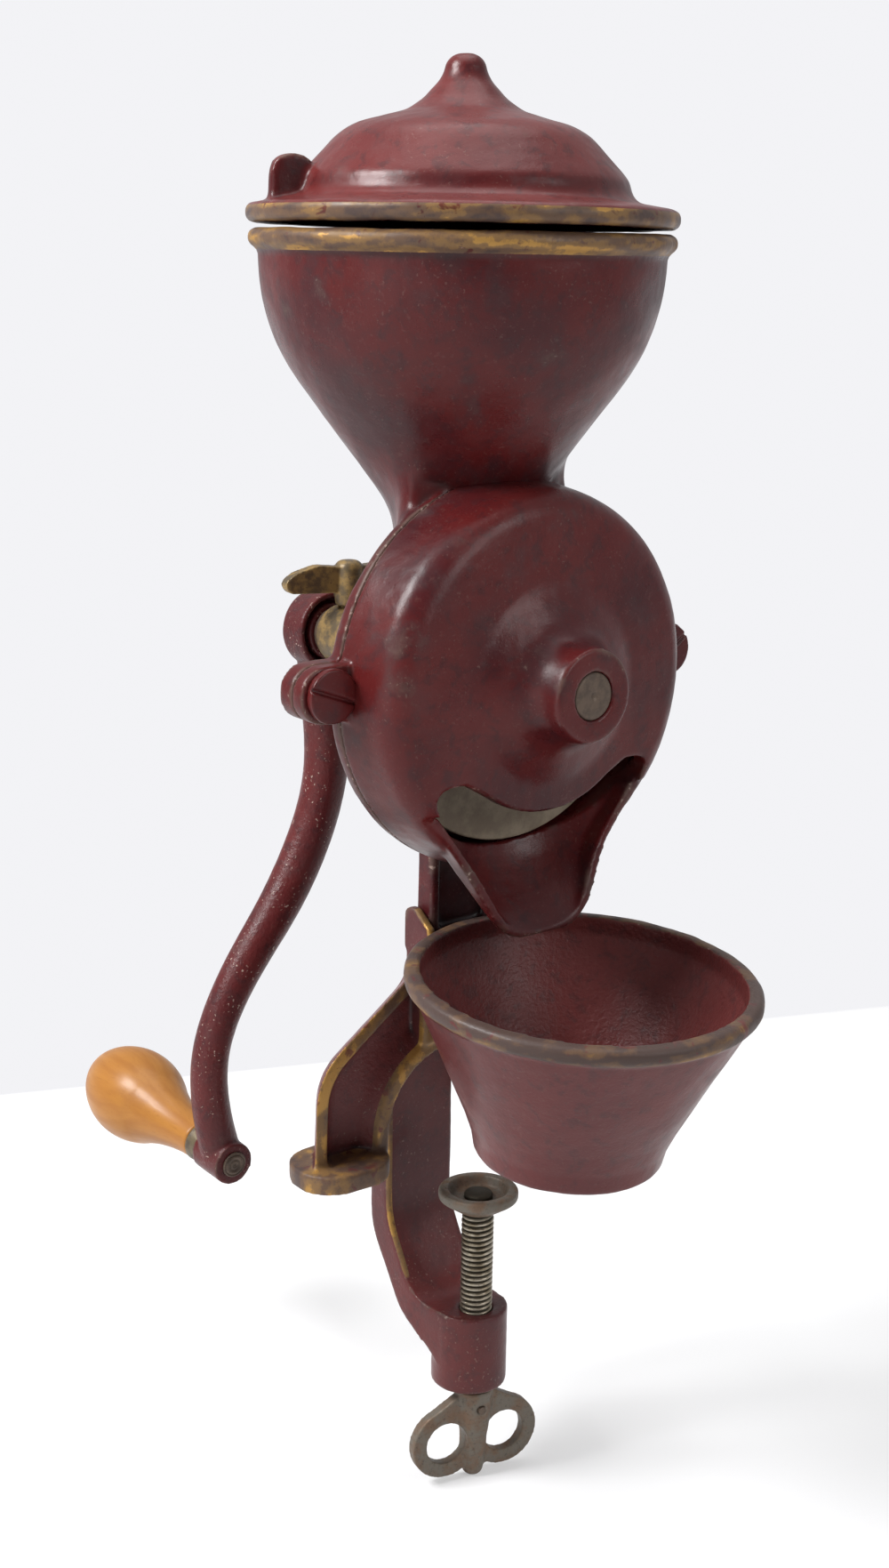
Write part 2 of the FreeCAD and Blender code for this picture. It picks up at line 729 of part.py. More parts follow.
def spout_loft(body, name, inset, cut=False):
    """Adds or cuts the scoop of the spout through its level sections."""
    sketches = []
    for index, (level, side, edge, back) in enumerate(spout_levels(inset)):
        bend = edge + (back - edge) * 0.4
        outline = [
            corner(-side, edge),
            corner(-side * 0.97, bend, via=(0, back)),
            corner(side * 0.97, bend),
            corner(side, edge),
        ]
        sketches.append(
            outline_sketch(body, f"{name}_{index}", "XY_Plane", outline, shift=(0, 0, level))
        )
    made = feature(body, "SubtractiveLoft" if cut else "AdditiveLoft", name, sketches[0])
    made.Sections = sketches[1:]
    return made


def front_cover():
    """Front cover with boss, ears, discharge mouth and spout, which are one casting."""
    body = new_body("front_cover", SPINDLE)
    parting = size["parting_front"]
    front = size["cover_rim_front"]
    turned(
        body,
        "dome",
        [
            corner(-parting, 0),
            corner(-parting, size["case_radius"]),
            corner(-front, size["cover_face_radius"], 8.5),
            corner(-front - 2.6, 27, 12),
            corner(-front - 9, size["boss_radius"] + 1.4, 11.5),
            corner(-size["boss_reach"], size["boss_radius"], 1),
            corner(-size["boss_reach"], 0),
        ],
    )
    ears(body, -parting - size["ear_front"], -parting, as_size(0))
    cut_chin(body)
    spout_loft(body, "spout", as_size(0))
    turned(
        body,
        "chamber",
        [
            corner(-parting + 12, 0),
            corner(-parting + 12, size["chamber_radius"]),
            corner(-front + wall + 0.4, size["chamber_radius"] - 0.6, 6),
            corner(-front + wall - 2.5, 20),
            corner(-front + wall - 2.5, 0),
        ],
        cut=True,
    )
    bore = size["spindle_radius"] + running
    turned(
        body,
        "boss_bore",
        [
            corner(-size["boss_reach"] - 1, 0),
            corner(-size["boss_reach"] - 1, bore),
            corner(-parting, bore),
            corner(-parting, 0),
        ],
        cut=True,
    )
    mouth(body)
    spout_loft(body, "trough", wall, cut=True)
    hole = size["cover_screw_radius"] + 0.2
    ear_holes(body, -parting - size["ear_front"], -parting, hole, as_size(0))
    return body


def mouth(body):
    """Cuts the smile-shaped discharge mouth through the cover's face."""
    lip = size["mouth_radius"]
    half = size["mouth_half_width"]
    slope = 35.0
    across = lip * math.sin(math.radians(slope))
    down = lip * math.cos(math.radians(slope))
    level, side, _, _ = spout_levels(wall)[0]
    outline = [
        corner(-size["chin_notch"], -lip - 1.5),
        corner(-side, level - 0.4),
        corner(-half + 1, -down + 3.6, 3),
        corner(-half + 10, -down + 5.0, 6),
        corner(-across, -down, via=(0, -lip)),
        corner(across, -down),
        corner(half - 10, -down + 5.0, 6),
        corner(half - 1, -down + 3.6, 3),
        corner(side, level - 0.4),
        corner(size["chin_notch"], -lip - 1.5),
    ]
    front = size["cover_rim_front"] - 8.5
    slab(body, "mouth", "XZ_Plane", outline, -size["boss_reach"], -front, cut=True)


def cut_chin(body):
    """Cuts the cover's face away in front of the spout, up to the mouth's upper lip."""
    side = size["case_radius"] + 5
    notch = size["chin_notch"]
    level = spout_levels(as_size(0))[0][0]
    lip = -size["mouth_radius"] - 1.5
    outline = [
        corner(-side, -side),
        corner(side, -side),
        corner(side, level),
        corner(notch, level),
        corner(notch, lip),
        corner(-notch, lip),
        corner(-notch, level),
        corner(-side, level),
    ]
    slab(body, "chin", "XZ_Plane", outline, -size["boss_reach"], -size["chin_front"], cut=True)


def cover_screws():
    """Two large slotted screws that hold the cover's ears to the casing's ears."""
    body = new_body("cover_screws", SPINDLE)
    parting = size["parting_front"]
    place = size["ear_reach"] - size["ear_screw_inset"]
    head_back = -parting - size["ear_front"]
    screws_along_y(
        body,
        [(-place, size["ear_raise"]), (place, size["ear_raise"])],
        size["cover_screw_radius"],
        size["cover_screw_head"],
        head_back - 2.4,
        head_back,
        -parting + size["ear_back"],
        slot_turns=(-20, 35),
    )
    return body


def screws_along_y(body, places, shank, head, head_front, head_back, tip, slot_turns):
    """Adds slotted screws whose heads face the front."""
    slab(body, "shanks", "XZ_Plane", [(x, z, shank) for x, z in places], head_back, tip)
    slab(body, "heads", "XZ_Plane", [(x, z, head) for x, z in places], head_front, head_back)
    for index, ((x, z), turn) in enumerate(zip(places, slot_turns)):
        along = math.cos(math.radians(turn))
        across = math.sin(math.radians(turn))
        half = 0.55
        outline = []
        for reach, side in ((-1, -1), (1, -1), (1, 1), (-1, 1)):
            end_x = x + head * (1.2 * reach * along) - side * half * across
            end_z = z + head * (1.2 * reach * across) + side * half * along
            outline.append(corner(end_x, end_z))
        low = head_front - 1
        slab(body, f"slot_{index}", "XZ_Plane", outline, low, low + 1.9, cut=True)


def lid():
    """Domed lid with knob, flange, thumb tab and the lug that it swings on."""
    body = new_body("lid", lid_frame(), axis=lid_tilt_axis(), angle=-size["lid_tilt"])
    edge = size["lid_edge"]
    radius = size["bead_radius"] + size["lid_overhang"]
    top = size["lid_height"]
    knob = size["lid_knob_radius"]
    turned(
        body,
        "dome",
        [
            corner(0, top),
            corner(knob, top, knob * 0.94),
            corner(knob + 1.5, top - 8.2, 12),
            corner(knob + 4.2, top - 12.8, 6),
            corner(32.2, 25, 18),
            corner(radius - 14.0, 12.2, 1),
            corner(radius - 12.9, 7, 4),
            corner(radius, edge, edge * 0.46),
            corner(radius, 0, edge * 0.46),
            corner(radius - 11, 0, 2),
            corner(radius - 16.5, 2.6, 3),
            corner(radius - 17.9, 10.8, 2.5),
            corner(30.7, 22, 16),
            corner(knob + 3, top - 16, 4),
            corner(0, top - 15),
        ],
        axis="V_Axis",
    )
    tall = size["lid_tab_height"]
    sketch = outline_sketch(
        body,
        "tab_outline",
        "XZ_Plane",
        [
            corner(radius - 20, edge),
            corner(radius - 4.4, edge - 0.2),
            corner(radius - 4.6, edge + tall, 5.5),
            corner(radius - 15, edge + tall, 6),
        ],
        turn_axis=(0, 1, 0),
        turn=size["lid_tab_angle"],
    )
    tab = feature(body, "Pad", "tab", sketch)
    bind(tab, "Length", size["lid_tab_thickness"])
    tab.Midplane = True
    pivot_x, pivot_y = pivot_place()
    slab(body, "lug", "XY_Plane", [(pivot_x, pivot_y, size["lug_radius"])], 0, edge)
    hole = [(pivot_x, pivot_y, size["rivet_radius"] + running)]
    slab(body, "rivet_hole", "XY_Plane", hole, -1, edge + 1, cut=True)
    return body


def lid_tilt_axis():
    """Level axis that the lid leans about, square to the direction of its lug."""
    angle = math.radians(size["lid_pivot_angle"].number)
    return (math.sin(angle), -math.cos(angle), 0)


def lid_frame():
    """Place of the lid: its underside clears the hopper's lug, where the lid is lowest."""
    lug_tip = size["lid_pivot_radius"] + size["lug_radius"]
    rise = size["bead_height"] / 2 + size["lid_gap"] + lug_tip * sine(size["lid_tilt"])
    return (HOPPER[0], HOPPER[1], HOPPER[2] + rise)


def lid_rivet():
    """Rivet that joins the lugs of lid and hopper, with both heads formed."""
    body = new_body("lid_rivet", lid_frame(), axis=lid_tilt_axis(), angle=-size["lid_tilt"])
    pivot_x, pivot_y = pivot_place()
    gap = size["lid_gap"] + 2 * size["lug_radius"] * sine(size["lid_tilt"])
    low = -gap - size["bead_height"]
    place = [(pivot_x, pivot_y, size["rivet_radius"])]
    head = [(pivot_x, pivot_y, size["rivet_radius"] * 1.8)]
    high = size["lid_edge"] + facing
    slab(body, "shank", "XY_Plane", place, low - 1, high)
    slab(body, "upper_head", "XY_Plane", head, high, high + 1.8)
    slab(body, "lower_head", "XY_Plane", head, low - 1.8, low)
    return body


def spindle():
    """Steel spindle, from the front boss to the crank nut."""
    body = new_body("spindle", SPINDLE)
    journal_end = worm_start() + size["worm_length"]
    collar_end = size["case_tail_back"] - size["nut_spigot_length"] - facing
    seat_end = size["crank_front"] + size["crank_thickness"] - 0.5
    tip = crank_nut_start() + size["crank_nut_height"] + 1
    turned(
        body,
        "turned_bar",
        [
            corner(-size["boss_reach"] + 0.2, 0),
            corner(-size["boss_reach"] + 0.2, size["spindle_radius"], 0.6),
            corner(journal_end, size["spindle_radius"]),
            corner(journal_end, size["collar_radius"]),
            corner(collar_end, size["collar_radius"]),
            corner(collar_end, size["spindle_rear_radius"]),
            corner(size["nut_end_back"] + 2.6, size["spindle_rear_radius"]),
            corner(size["nut_end_back"] + 2.6, size["crank_seat_radius"]),
            corner(seat_end, size["crank_seat_radius"]),
            corner(seat_end, size["spindle_thread_radius"]),
            corner(tip, size["spindle_thread_radius"], 0.8),
            corner(tip, 0),
        ],
    )
    slab(
        body,
        "pin_hole",
        "XY_Plane",
        [(0, burr_hub_middle(), size["drive_pin_radius"])],
        -20,
        20,
        cut=True,
    )
    return body


def crank_nut_start():
    """Y of the crank nut's front face."""
    return size["crank_front"] + size["crank_thickness"] + size["crank_washer_thickness"]


def burr_back():
    """Y of the cutting face of the turning burr."""
    return burr_seat() - size["burr_thickness"] - size["grind_gap"]


def burr_hub_middle():
    """Y of the drive pin, in the middle of the turning burr's hub."""
    return burr_back() - 8


def worm_start():
    """Y of the front end of the feed worm."""
    return burr_back() + 0.6


def feed_worm():
    """Cast worm on the spindle that feeds the beans through the fixed burr's eye."""
    body = new_body("feed_worm", SPINDLE)
    start = worm_start()
    end = start + size["worm_length"]
    bore = size["spindle_radius"]
    turned(
        body,
        "core",
        [
            corner(start, bore),
            corner(start, size["worm_core_radius"]),
            corner(end, size["worm_core_radius"]),
            corner(end, bore),
        ],
    )
    root_radius = size["worm_core_radius"] - 0.6
    sketch = outline_sketch(
        body,
        "flight_outline",
        "YZ_Plane",
        [
            corner(start + 1, root_radius),
            corner(start + 5, root_radius),
            corner(start + 4, size["worm_radius"]),
            corner(start + 2, size["worm_radius"]),
        ],
    )
    flight = feature(body, "AdditiveHelix", "flight", sketch)
    flight.ReferenceAxis = (sketch, ["H_Axis"])
    flight.Mode = "pitch-height-angle"
    bind(flight, "Pitch", size["worm_pitch"])
    bind(flight, "Height", size["worm_length"] - 7)
    return body


def turning_burr():
    """Turning burr: a dished disc with a hub, cut with grooves on its rear face."""
    body = new_body("turning_burr", SPINDLE)
    back = burr_back()
    radius = size["burr_radius"]
    bore = size["spindle_radius"]
    turned(
        body,
        "disc",
        [
            corner(back, bore),
            corner(back, radius),
            corner(back - 3.4, radius, 0.8),
            corner(back - 5, radius - 16, 6),
            corner(back - 5, 13.5, 2),
            corner(back - 12, 12.5, 1),
            corner(back - 12, bore),
        ],
    )
    cutting_grooves(body, back - size["burr_groove_depth"], back)
    slab(
        body,
        "pin_hole",
        "XY_Plane",
        [(0, burr_hub_middle(), size["drive_pin_radius"])],
        -20,
        20,
        cut=True,
    )
    return body


def cutting_grooves(body, low, high):
    """Cuts one slanting groove in a burr's face and repeats it round the spindle."""
    half = size["burr_groove_width"] / 2
    inner = size["burr_eye_radius"] + 5
    outer = size["fixed_burr_radius"] + 4
    lean = 4.0
    groove = slab(
        body,
        "groove",
        "XZ_Plane",
        [
            corner(inner, -half),
            corner(outer, lean - half),
            corner(outer, lean + half),
            corner(inner, half),
        ],
        low,
        high,
        cut=True,
    )
    return polar_copies(body, "grooves", groove, "Y_Axis", size["burr_groove_count"])


def burr_drive_pin():
    """Cross pin that locks the turning burr to the spindle."""
    body = new_body("burr_drive_pin", SPINDLE)
    slab(
        body,
        "pin",
        "XY_Plane",
        [(0, burr_hub_middle(), size["drive_pin_radius"])],
        -12.3,
        12.3,
    )
    return body


def fixed_burr():
    """Fixed burr ring in the casing, cut with grooves on its front face."""
    body = new_body("fixed_burr", SPINDLE)
    seat = burr_seat()
    face = seat - size["burr_thickness"]
    turned(
        body,
        "ring",
        [
            corner(seat, size["burr_eye_radius"]),
            corner(seat, size["fixed_burr_radius"]),
            corner(face, size["fixed_burr_radius"], 0.6),
            corner(face, size["burr_eye_radius"] + 3),
            corner(face + 3, size["burr_eye_radius"]),
        ],
    )
    holes = slab(
        body,
        "screw_hole",
        "XZ_Plane",
        [(0, size["burr_screw_circle"], size["burr_screw_radius"] + 0.1)],
        face - 1,
        seat + 1,
        cut=True,
    )
    polar_copies(body, "screw_holes", holes, "Y_Axis", size["burr_screw_count"])
    sink = slab(
        body,
        "head_recess",
        "XZ_Plane",
        [(0, size["burr_screw_circle"], size["burr_screw_radius"] * 2)],
        face - 1,
        face + 3.4,
        cut=True,
    )
    polar_copies(body, "head_recesses", sink, "Y_Axis", size["burr_screw_count"])
    cutting_grooves(body, face, face + size["burr_groove_depth"])
    return body


def burr_screws():
    """Screws that hold the fixed burr in the casing."""
    body = new_body("burr_screws", SPINDLE)
    seat = burr_seat()
    face = seat - size["burr_thickness"]
    circle = size["burr_screw_circle"]
    shank = size["burr_screw_radius"]
    count = int(size["burr_screw_count"].number)
    places = []
    for index in range(count):
        angle = Size(90 + index * 360 / count, f"(90 + {index} * 360 / Sizes.burr_screw_count)")
        places.append((circle * cosine(angle), circle * sine(angle)))
    screws_along_y(
        body,
        places,
        shank,
        shank * 2 - 0.2,
        face + 1.4,
        face + 3.4,
        seat + 3.2,
        slot_turns=range(15, 15 + 50 * count, 50),
    )
    return body


def adjusting_nut():
    """Nut in the rear boss that holds the spindle endways and sets the grind."""
    body = new_body("adjusting_nut", SPINDLE)
    front = size["case_tail_back"] - size["nut_spigot_length"]
    shoulder = size["case_tail_back"] + size["adjust_travel"] + loose
    bore = size["spindle_rear_radius"] + running
    turned(
        body,
        "nut",
        [
            corner(front, bore),
            corner(front, size["nut_spigot_radius"]),
            corner(shoulder, size["nut_spigot_radius"]),
            corner(shoulder, size["nut_radius"], 0.8),
            corner(size["nut_end_back"], size["nut_radius"], 0.8),
            corner(size["nut_end_back"], bore),
        ],
    )
    slab(
        body,
        "wing_hole",
        "XY_Plane",
        [(0, size["wing_setback"], size["wing_shank_radius"] + running)],
        0,
        20,
        cut=True,
    )
    return body


def wing_screw():
    """Wing screw that locks the adjusting nut."""
    place = (SPINDLE[0], SPINDLE[1] + size["wing_setback"], SPINDLE[2])
    body = new_body("wing_screw", place, axis=(0, 0, 1), angle=size["wing_turn"])
    base = size["nut_radius"] + facing
    hub = size["wing_hub_radius"]
    shank = size["wing_shank_radius"]
    tip = size["spindle_rear_radius"] + 0.5
    tall = size["wing_height"]
    turned(
        body,
        "hub",
        [
            corner(0, tip),
            corner(shank, tip),
            corner(shank, base),
            corner(hub - 0.8, base, 0.5),
            corner(hub, base + 4, 2),
            corner(hub - 0.4, base + tall, 2.6),
            corner(0, base + tall),
        ],
        axis="V_Axis",
    )
    span = size["wing_span"]
    half = size["wing_thickness"] / 2
    for name, side in (("left_wing", -1), ("right_wing", 1)):
        slab(
            body,
            name,
            "XZ_Plane",
            [
                corner(side * hub * 0.3, base + tall * 0.3),
                corner(side * span * 0.92, base + tall * 0.33, 3),
                corner(side * span, base + tall * 0.58, 2.2),
                corner(side * span * 0.82, base + tall * 0.78, 5),
                corner(side * span * 0.5, base + tall * 0.93, 9),
                corner(side * hub * 0.3, base + tall * 0.86),
            ],
            -half,
            half,
        )
    return body


def thrust_washer():
    """Washer between the adjusting nut and the crank hub."""
    body = new_body("thrust_washer", SPINDLE)
    start = size["nut_end_back"] + facing
    end = size["crank_front"] - facing
    bore = size["spindle_rear_radius"] + running
    outside = size["nut_radius"] - 1.5
    turned(
        body,
        "ring",
        [
            corner(start, bore),
            corner(start, outside, 0.4),
            corner(end, outside, 0.4),
            corner(end, bore),
        ],
    )
    return body


CRANK_SECTIONS = (
    # sideways, height, lean of the section in degrees, radius
    (0.5, 0.0, 0, 6.4),
    (1.6, -30.0, 2, 6.8),
    (0.8, -50.0, 10, 6.8),
    (-5.3, -67.6, 26, 6.7),
    (-18.2, -88.6, 34, 6.4),
    (-32.6, -108.4, 32, 5.9),
    (-39.8, -124.0, 18, 5.7),
    (-41.6, -138.5, 1, 5.8),
    (-40.1, -151.0, -12, 6.0),
    (-37.2, -163.0, -14, 6.2),
)


def crank_plane():
    """Y of the middle of the crank arm."""
    return size["crank_front"] + size["crank_thickness"] / 2 + 1


def crank_arm():
    """Cast crank: hub, S-shaped arm and the boss that holds the handle stud."""
    body = new_body("crank_arm", SPINDLE)
    front = size["crank_front"]
    back = front + size["crank_thickness"]
    middle = crank_plane()
    across = size["crank_side"] / -CRANK_SECTIONS[-1][0]
    down = size["crank_drop"] / -CRANK_SECTIONS[-1][1]
    thick = size["crank_arm_radius"] / 6
    sketches = []
    for index, (x, z, lean, radius) in enumerate(CRANK_SECTIONS):
        sketches.append(
            circle_sketch(
                body,
                f"arm_{index}",
                "XY_Plane",
                [(0, 0, thick * radius)],
                shift=(across * x, middle, down * z),
                turn_axis=(0, 1, 0),
                turn=lean,
            )
        )
    arm = feature(body, "AdditiveLoft", "arm", sketches[0])
    arm.Sections = sketches[1:]
    turned(
        body,
        "hub",
        [
            corner(front, 0),
            corner(front, size["crank_hub_radius"], 1),
            corner(back, size["crank_hub_radius"], 2),
            corner(back, 0),
        ],
    )
    along_handle(body, "end_boss", size["crank_end_radius"], crank_half_depth() * 2)
    groove_inner = size["nut_radius"] - 0.4
    groove_outer = size["crank_hub_radius"] - 1.8
    turned(
        body,
        "hub_groove",
        [
            corner(front - 1, groove_inner),
            corner(front - 1, groove_outer),
            corner(front + 4.5, groove_outer),
            corner(front + 4.5, groove_inner),
        ],
        cut=True,
    )
    seat = [(0, 0, size["crank_washer_radius"] + 2 * loose)]
    slab(body, "washer_seat", "XZ_Plane", seat, back, back + 10, cut=True)
    slab(body, "hub_bore", "XZ_Plane", [(0, 0, size["crank_seat_radius"])], 0, back + 5, cut=True)
    along_handle(body, "stud_bore", size["stud_radius"], crank_half_depth() * 4, cut=True)
    return body


def along_handle(body, name, radius, length, cut=False):
    """Pads or cuts a cylinder on the handle's axis, centred on the crank arm's plane."""
    sketch = circle_sketch(
        body,
        f"{name}_outline",
        "XZ_Plane",
        [(0, 0, radius)],
        shift=(-size["crank_side"], -size["crank_drop"], -crank_plane()),
        turn_axis=(1, 0, 0),
        turn=size["handle_tilt"],
    )
    made = feature(body, "Pocket" if cut else "Pad", name, sketch)
    bind(made, "Length", length)
    made.Midplane = True
    return made


def handle_body(label):
    """Makes a sub-part of the handle, on the handle's own axis at the arm's middle plane."""
    place = (-size["crank_side"], SPINDLE[1] + crank_plane(), SPINDLE[2] - size["crank_drop"])
    return new_body(label, place, axis=(1, 0, 0), angle=size["handle_tilt"])


def crank_half_depth():
    """Half the depth of the boss at the crank's end, past the arm on both sides."""
    return size["crank_arm_radius"] + 0.8


def crank_nut():
    """Hexagon nut that holds the crank on the spindle."""
    body = new_body("crank_nut", SPINDLE)
    start = crank_nut_start()
    end = start + size["crank_nut_height"]
    reach = size["crank_nut_flats"] / 2 / math.cos(math.radians(30))
    corners = []
    for index in range(6):
        angle = math.radians(60 * index)
        corners.append(corner(reach * math.cos(angle), reach * math.sin(angle)))
    slab(body, "hexagon", "XZ_Plane", corners, start, end)
    hole = [(0, 0, size["spindle_thread_radius"])]
    slab(body, "bore", "XZ_Plane", hole, start - 1, end + 1, cut=True)
    return body


def crank_washer():
    """Washer under the crank nut."""
    body = new_body("crank_washer", SPINDLE)
    start = size["crank_front"] + size["crank_thickness"]
    slab(body, "ring", "XZ_Plane", [(0, 0, size["crank_washer_radius"])], start, crank_nut_start())
    hole = [(0, 0, size["spindle_thread_radius"] + 0.1)]
    slab(body, "bore", "XZ_Plane", hole, start - 1, start + 5, cut=True)
    return body


def grip_start():
    """Y of the grip's front end from the crank arm's middle plane."""
    return crank_half_depth() + size["ferrule_length"] + 2 * facing


def handle_stud():
    """Riveted stud that carries the wooden grip."""
    body = handle_body("handle_stud")
    front = -crank_half_depth()
    end = grip_start() + size["grip_length"]
    radius = size["stud_radius"]
    head = end - size["grip_recess"] + facing
    turned(
        body,
        "stud",
        [
            corner(front - 0.8, 0),
            corner(front - 0.8, radius + 0.9, 0.5),
            corner(front, radius + 0.9),
            corner(front, radius),
            corner(head, radius),
            corner(head, radius + 1.8),
            corner(head + 1.8, radius + 1.8, 0.8),
            corner(head + 1.8, 0),
        ],
    )
    return body


def grip_ferrule():
    """Small metal collar between the crank and the grip."""
    body = handle_body("grip_ferrule")
    start = crank_half_depth() + facing
    end = start + size["ferrule_length"]
    bore = size["stud_radius"] + running
    turned(
        body,
        "collar",
        [
            corner(start, bore),
            corner(start, size["grip_neck_radius"] - 0.3, 0.5),
            corner(end, size["grip_neck_radius"] + 0.3, 0.5),
            corner(end, bore),
        ],
    )
    return body


def wooden_grip():
    """Pear-shaped wooden grip that turns on the stud."""
    body = handle_body("wooden_grip")
    start = grip_start()
    length = size["grip_length"]
    neck_radius = size["grip_neck_radius"]
    fat = size["grip_radius"]
    bore = size["stud_radius"] + running
    recess = size["stud_radius"] + 2.3
    turned(
        body,
        "pear",
        [
            corner(start, bore),
            corner(start, neck_radius, via=(start + length * 0.21, neck_radius + 1.5)),
            corner(start + length * 0.448, fat * 0.795, via=(start + length * 0.741, fat)),
            corner(start + length * 0.957, fat * 0.66, via=(start + length * 0.988, fat * 0.53)),
            corner(start + length, recess),
            corner(start + length - size["grip_recess"], recess),
            corner(start + length - size["grip_recess"], bore),
        ],
    )
    return body


def clamp_frame():
    """Clamp frame: head, two legs with feet, spine and the boss for the screw."""
    body = new_body("clamp_frame", HOPPER)
    table = size["rim_height"]
    legs(body)
    head(body)
    spine(body)
    feet(body, table)
    screw_boss(body)
    cup_bracket(body)
    frame_cuts(body)
    return body


def head_front():
    """Y of the front face of the clamp frame's head."""
    return size["head_back"] - size["head_thickness"]


def legs(body):
    """Wishbone of the two legs under the head, hollowed in front and narrower behind."""
    span = size["leg_half_span"]
    side = size["head_half_width"]
    arch = size["arch_half_width"]
    top = -size["joint_drop"]
    table = -size["rim_height"]
    crown = -size["arch_drop"]
    front = -size["leg_front"]
    back = size["leg_back"]

    def wishbone(inset, bottom):
        """Outline from the left foot over the head to the right foot and the arch."""
        outer = [
            (span - inset, bottom, 0),
            (span - inset - 1, top - 31.5 - inset * 0.51, 20 - inset),
            (side + 5.5 - inset * 0.75, top - 9 - inset * 0.69, 12 + inset),
            (side - inset * 1.17, top, 0),
        ]
        inner = [
            (arch + inset, bottom, 0),
            (arch + inset, crown + inset, arch - 3 + inset),
        ]
        left = [corner(-x, z, radius) for x, z, radius in outer]
        right = [corner(x, z, radius) for x, z, radius in reversed(outer)]
        inside = [corner(x, z, radius) for x, z, radius in inner]
        return left + right + inside + [corner(-x, z, radius) for x, z, radius in reversed(inner)]

    drafted(body, "legs", wishbone(as_size(0), table - 4), front, back - front)
    hollow = wishbone(size["leg_rim"], table + 1)
    drafted(body, "leg_hollow", hollow, front, back - size["leg_web"] - front, cut=True)
    below = rounded_box(-span - 5, span + 5, front - 1, back + 1)
    slab(body, "leg_ends", "XY_Plane", below, table - 5, table, cut=True)


def drafted(body, name, outline, front, depth, cut=False):
    """Pads or pockets an outline from its front plane backwards, narrower with depth."""
    sketch = outline_sketch(body, f"{name}_outline", "XZ_Plane", outline, (0, 0, -front))
    made = feature(body, "Pocket" if cut else "Pad", name, sketch)
    made.Reversed = not cut
    bind(made, "Length", depth)
    bind(made, "TaperAngle", -size["leg_draft"])
    return made


def head(body):
    """Block that holds the stem, with cheeks that reach up beside it."""
    half = size["head_half_width"]
    joint = -size["joint_drop"]
    front = head_front()
    back = size["head_back"]
    low = -size["arch_drop"] + 2.5
    slab(body, "head", "XY_Plane", rounded_box(-half, half, front, back, 2), low, joint)
    top = joint + size["cheek_height"]
    inner = size["stem_half_width"] + loose
    for name, side in (("left_cheek", -1), ("right_cheek", 1)):
        slab(
            body,
            name,
            "YZ_Plane",
            [
                corner(front - 1, joint - 3),
                corner(back, joint - 3),
                corner(back, top, 2.5),
                corner(back - 5, top, 2.5),
                corner(front - 1, joint + 4.5, 1.2),
            ],
            side * inner if side > 0 else -half,
            half if side > 0 else -inner,
        )


def spine(body):
    """Spine behind the table edge, bent forward below the table to the screw's boss."""
    table = size["rim_height"]
    front = size["spine_front"]
    back = front + size["spine_depth"]
    top = -size["joint_drop"]
    half = size["spine_half_width"]
    boss_top = -table - size["nut_boss_top"]
    boss_bottom = -table - size["nut_boss_bottom"]
    middle = boss_middle()
    slab(
        body,
        "spine",
        "YZ_Plane",
        [
            corner(head_front() + 3, top - 1),
            corner(size["head_back"], top - 1),
            corner(size["head_back"] + 1, top - 11.5, 5),
            corner(back, top - 31.5, 9),
            corner(back, -table - 32, 24),
            corner(back - 15, boss_top - 6, 16),
            corner(middle, boss_bottom + 7),
            corner(middle, boss_top - 0.2),
            corner(-0.5, boss_top - 0.2, 14),
            corner(front, -table - 27, 24),
            corner(front, top - 29, 7),
            corner(head_front() + 6, top - 26.5, 3),
            corner(head_front() + 3, top - 25.5),
        ],
        -half,
        half,
    )
    for name, side in (("left_taper", -1), ("right_taper", 1)):
        near = side * size["nut_boss_radius"]
        far = side * (half + 1)
        taper = [
            corner(far, middle - 1),
            corner(near, middle - 1),
            corner(near, middle),
            corner(side * half, middle + size["spine_taper"]),
            corner(far, middle + size["spine_taper"]),
        ]
        slab(body, name, "XY_Plane", taper, boss_bottom - 1, boss_top + 1, cut=True)


def boss_middle():
    """Y of the middle of the screw's boss, from the hopper axis."""
    return size["nut_boss_setback"] - size["hopper_setback"]


def screw_boss(body):
    """Boss at the spine's end that the clamp screw passes through."""
    top = -size["rim_height"] - size["nut_boss_top"]
    bottom = -size["rim_height"] - size["nut_boss_bottom"]
    middle = boss_middle()
    radius = size["nut_boss_radius"]
    slab(body, "screw_boss", "XY_Plane", [(0, middle, radius)], bottom, top)


def feet(body, table):
    """Flat oval feet that stand on the table."""
    length = size["foot_length"] / 2
    depth = size["foot_depth"] / 2
    middle = size["foot_offset"]
    place = -size["foot_setforward"]
    for name, x in (("left_foot", -middle), ("right_foot", middle)):
        outline = rounded_box(x - length, x + length, place - depth, place + depth, depth - 0.5)
        slab(body, name, "XY_Plane", outline, -table, -table + size["foot_thickness"])


def hook_front():
    """Y of the front face of the bracket that the cup hangs on."""
    return head_front() - 7


def cup_bracket(body):
    """Bracket on the head that the cup hangs in."""
    top = -size["hook_top_drop"]
    bottom = top - size["hook_height"]
    front = hook_front()
    half = size["hook_half_width"]
    floor = bottom + bracket_floor()
    slab(body, "bracket", "XY_Plane", rounded_box(-half, half, front, -2, 1), bottom, top)
    cavity = rounded_box(-hook_head_half(), hook_head_half(), front + 3, head_front() - 0.2)
    slab(body, "bracket_cavity", "XY_Plane", cavity, floor, top + 1, cut=True)
    slot = rounded_box(-hook_rib_half(), hook_rib_half(), front - 1, front + 4)
    slab(body, "bracket_slot", "XY_Plane", slot, floor, top + 1, cut=True)


def bracket_floor():
    """Thickness of the bracket under the hook."""
    return size["hook_height"] * 0.18


def hook_head_half():
    """Half width of the bracket's cavity for the hook's head."""
    return size["hook_half_width"] - 3.1


def hook_rib_half():
    """Half width of the bracket's slot for the hook's rib."""
    return hook_head_half() - 3


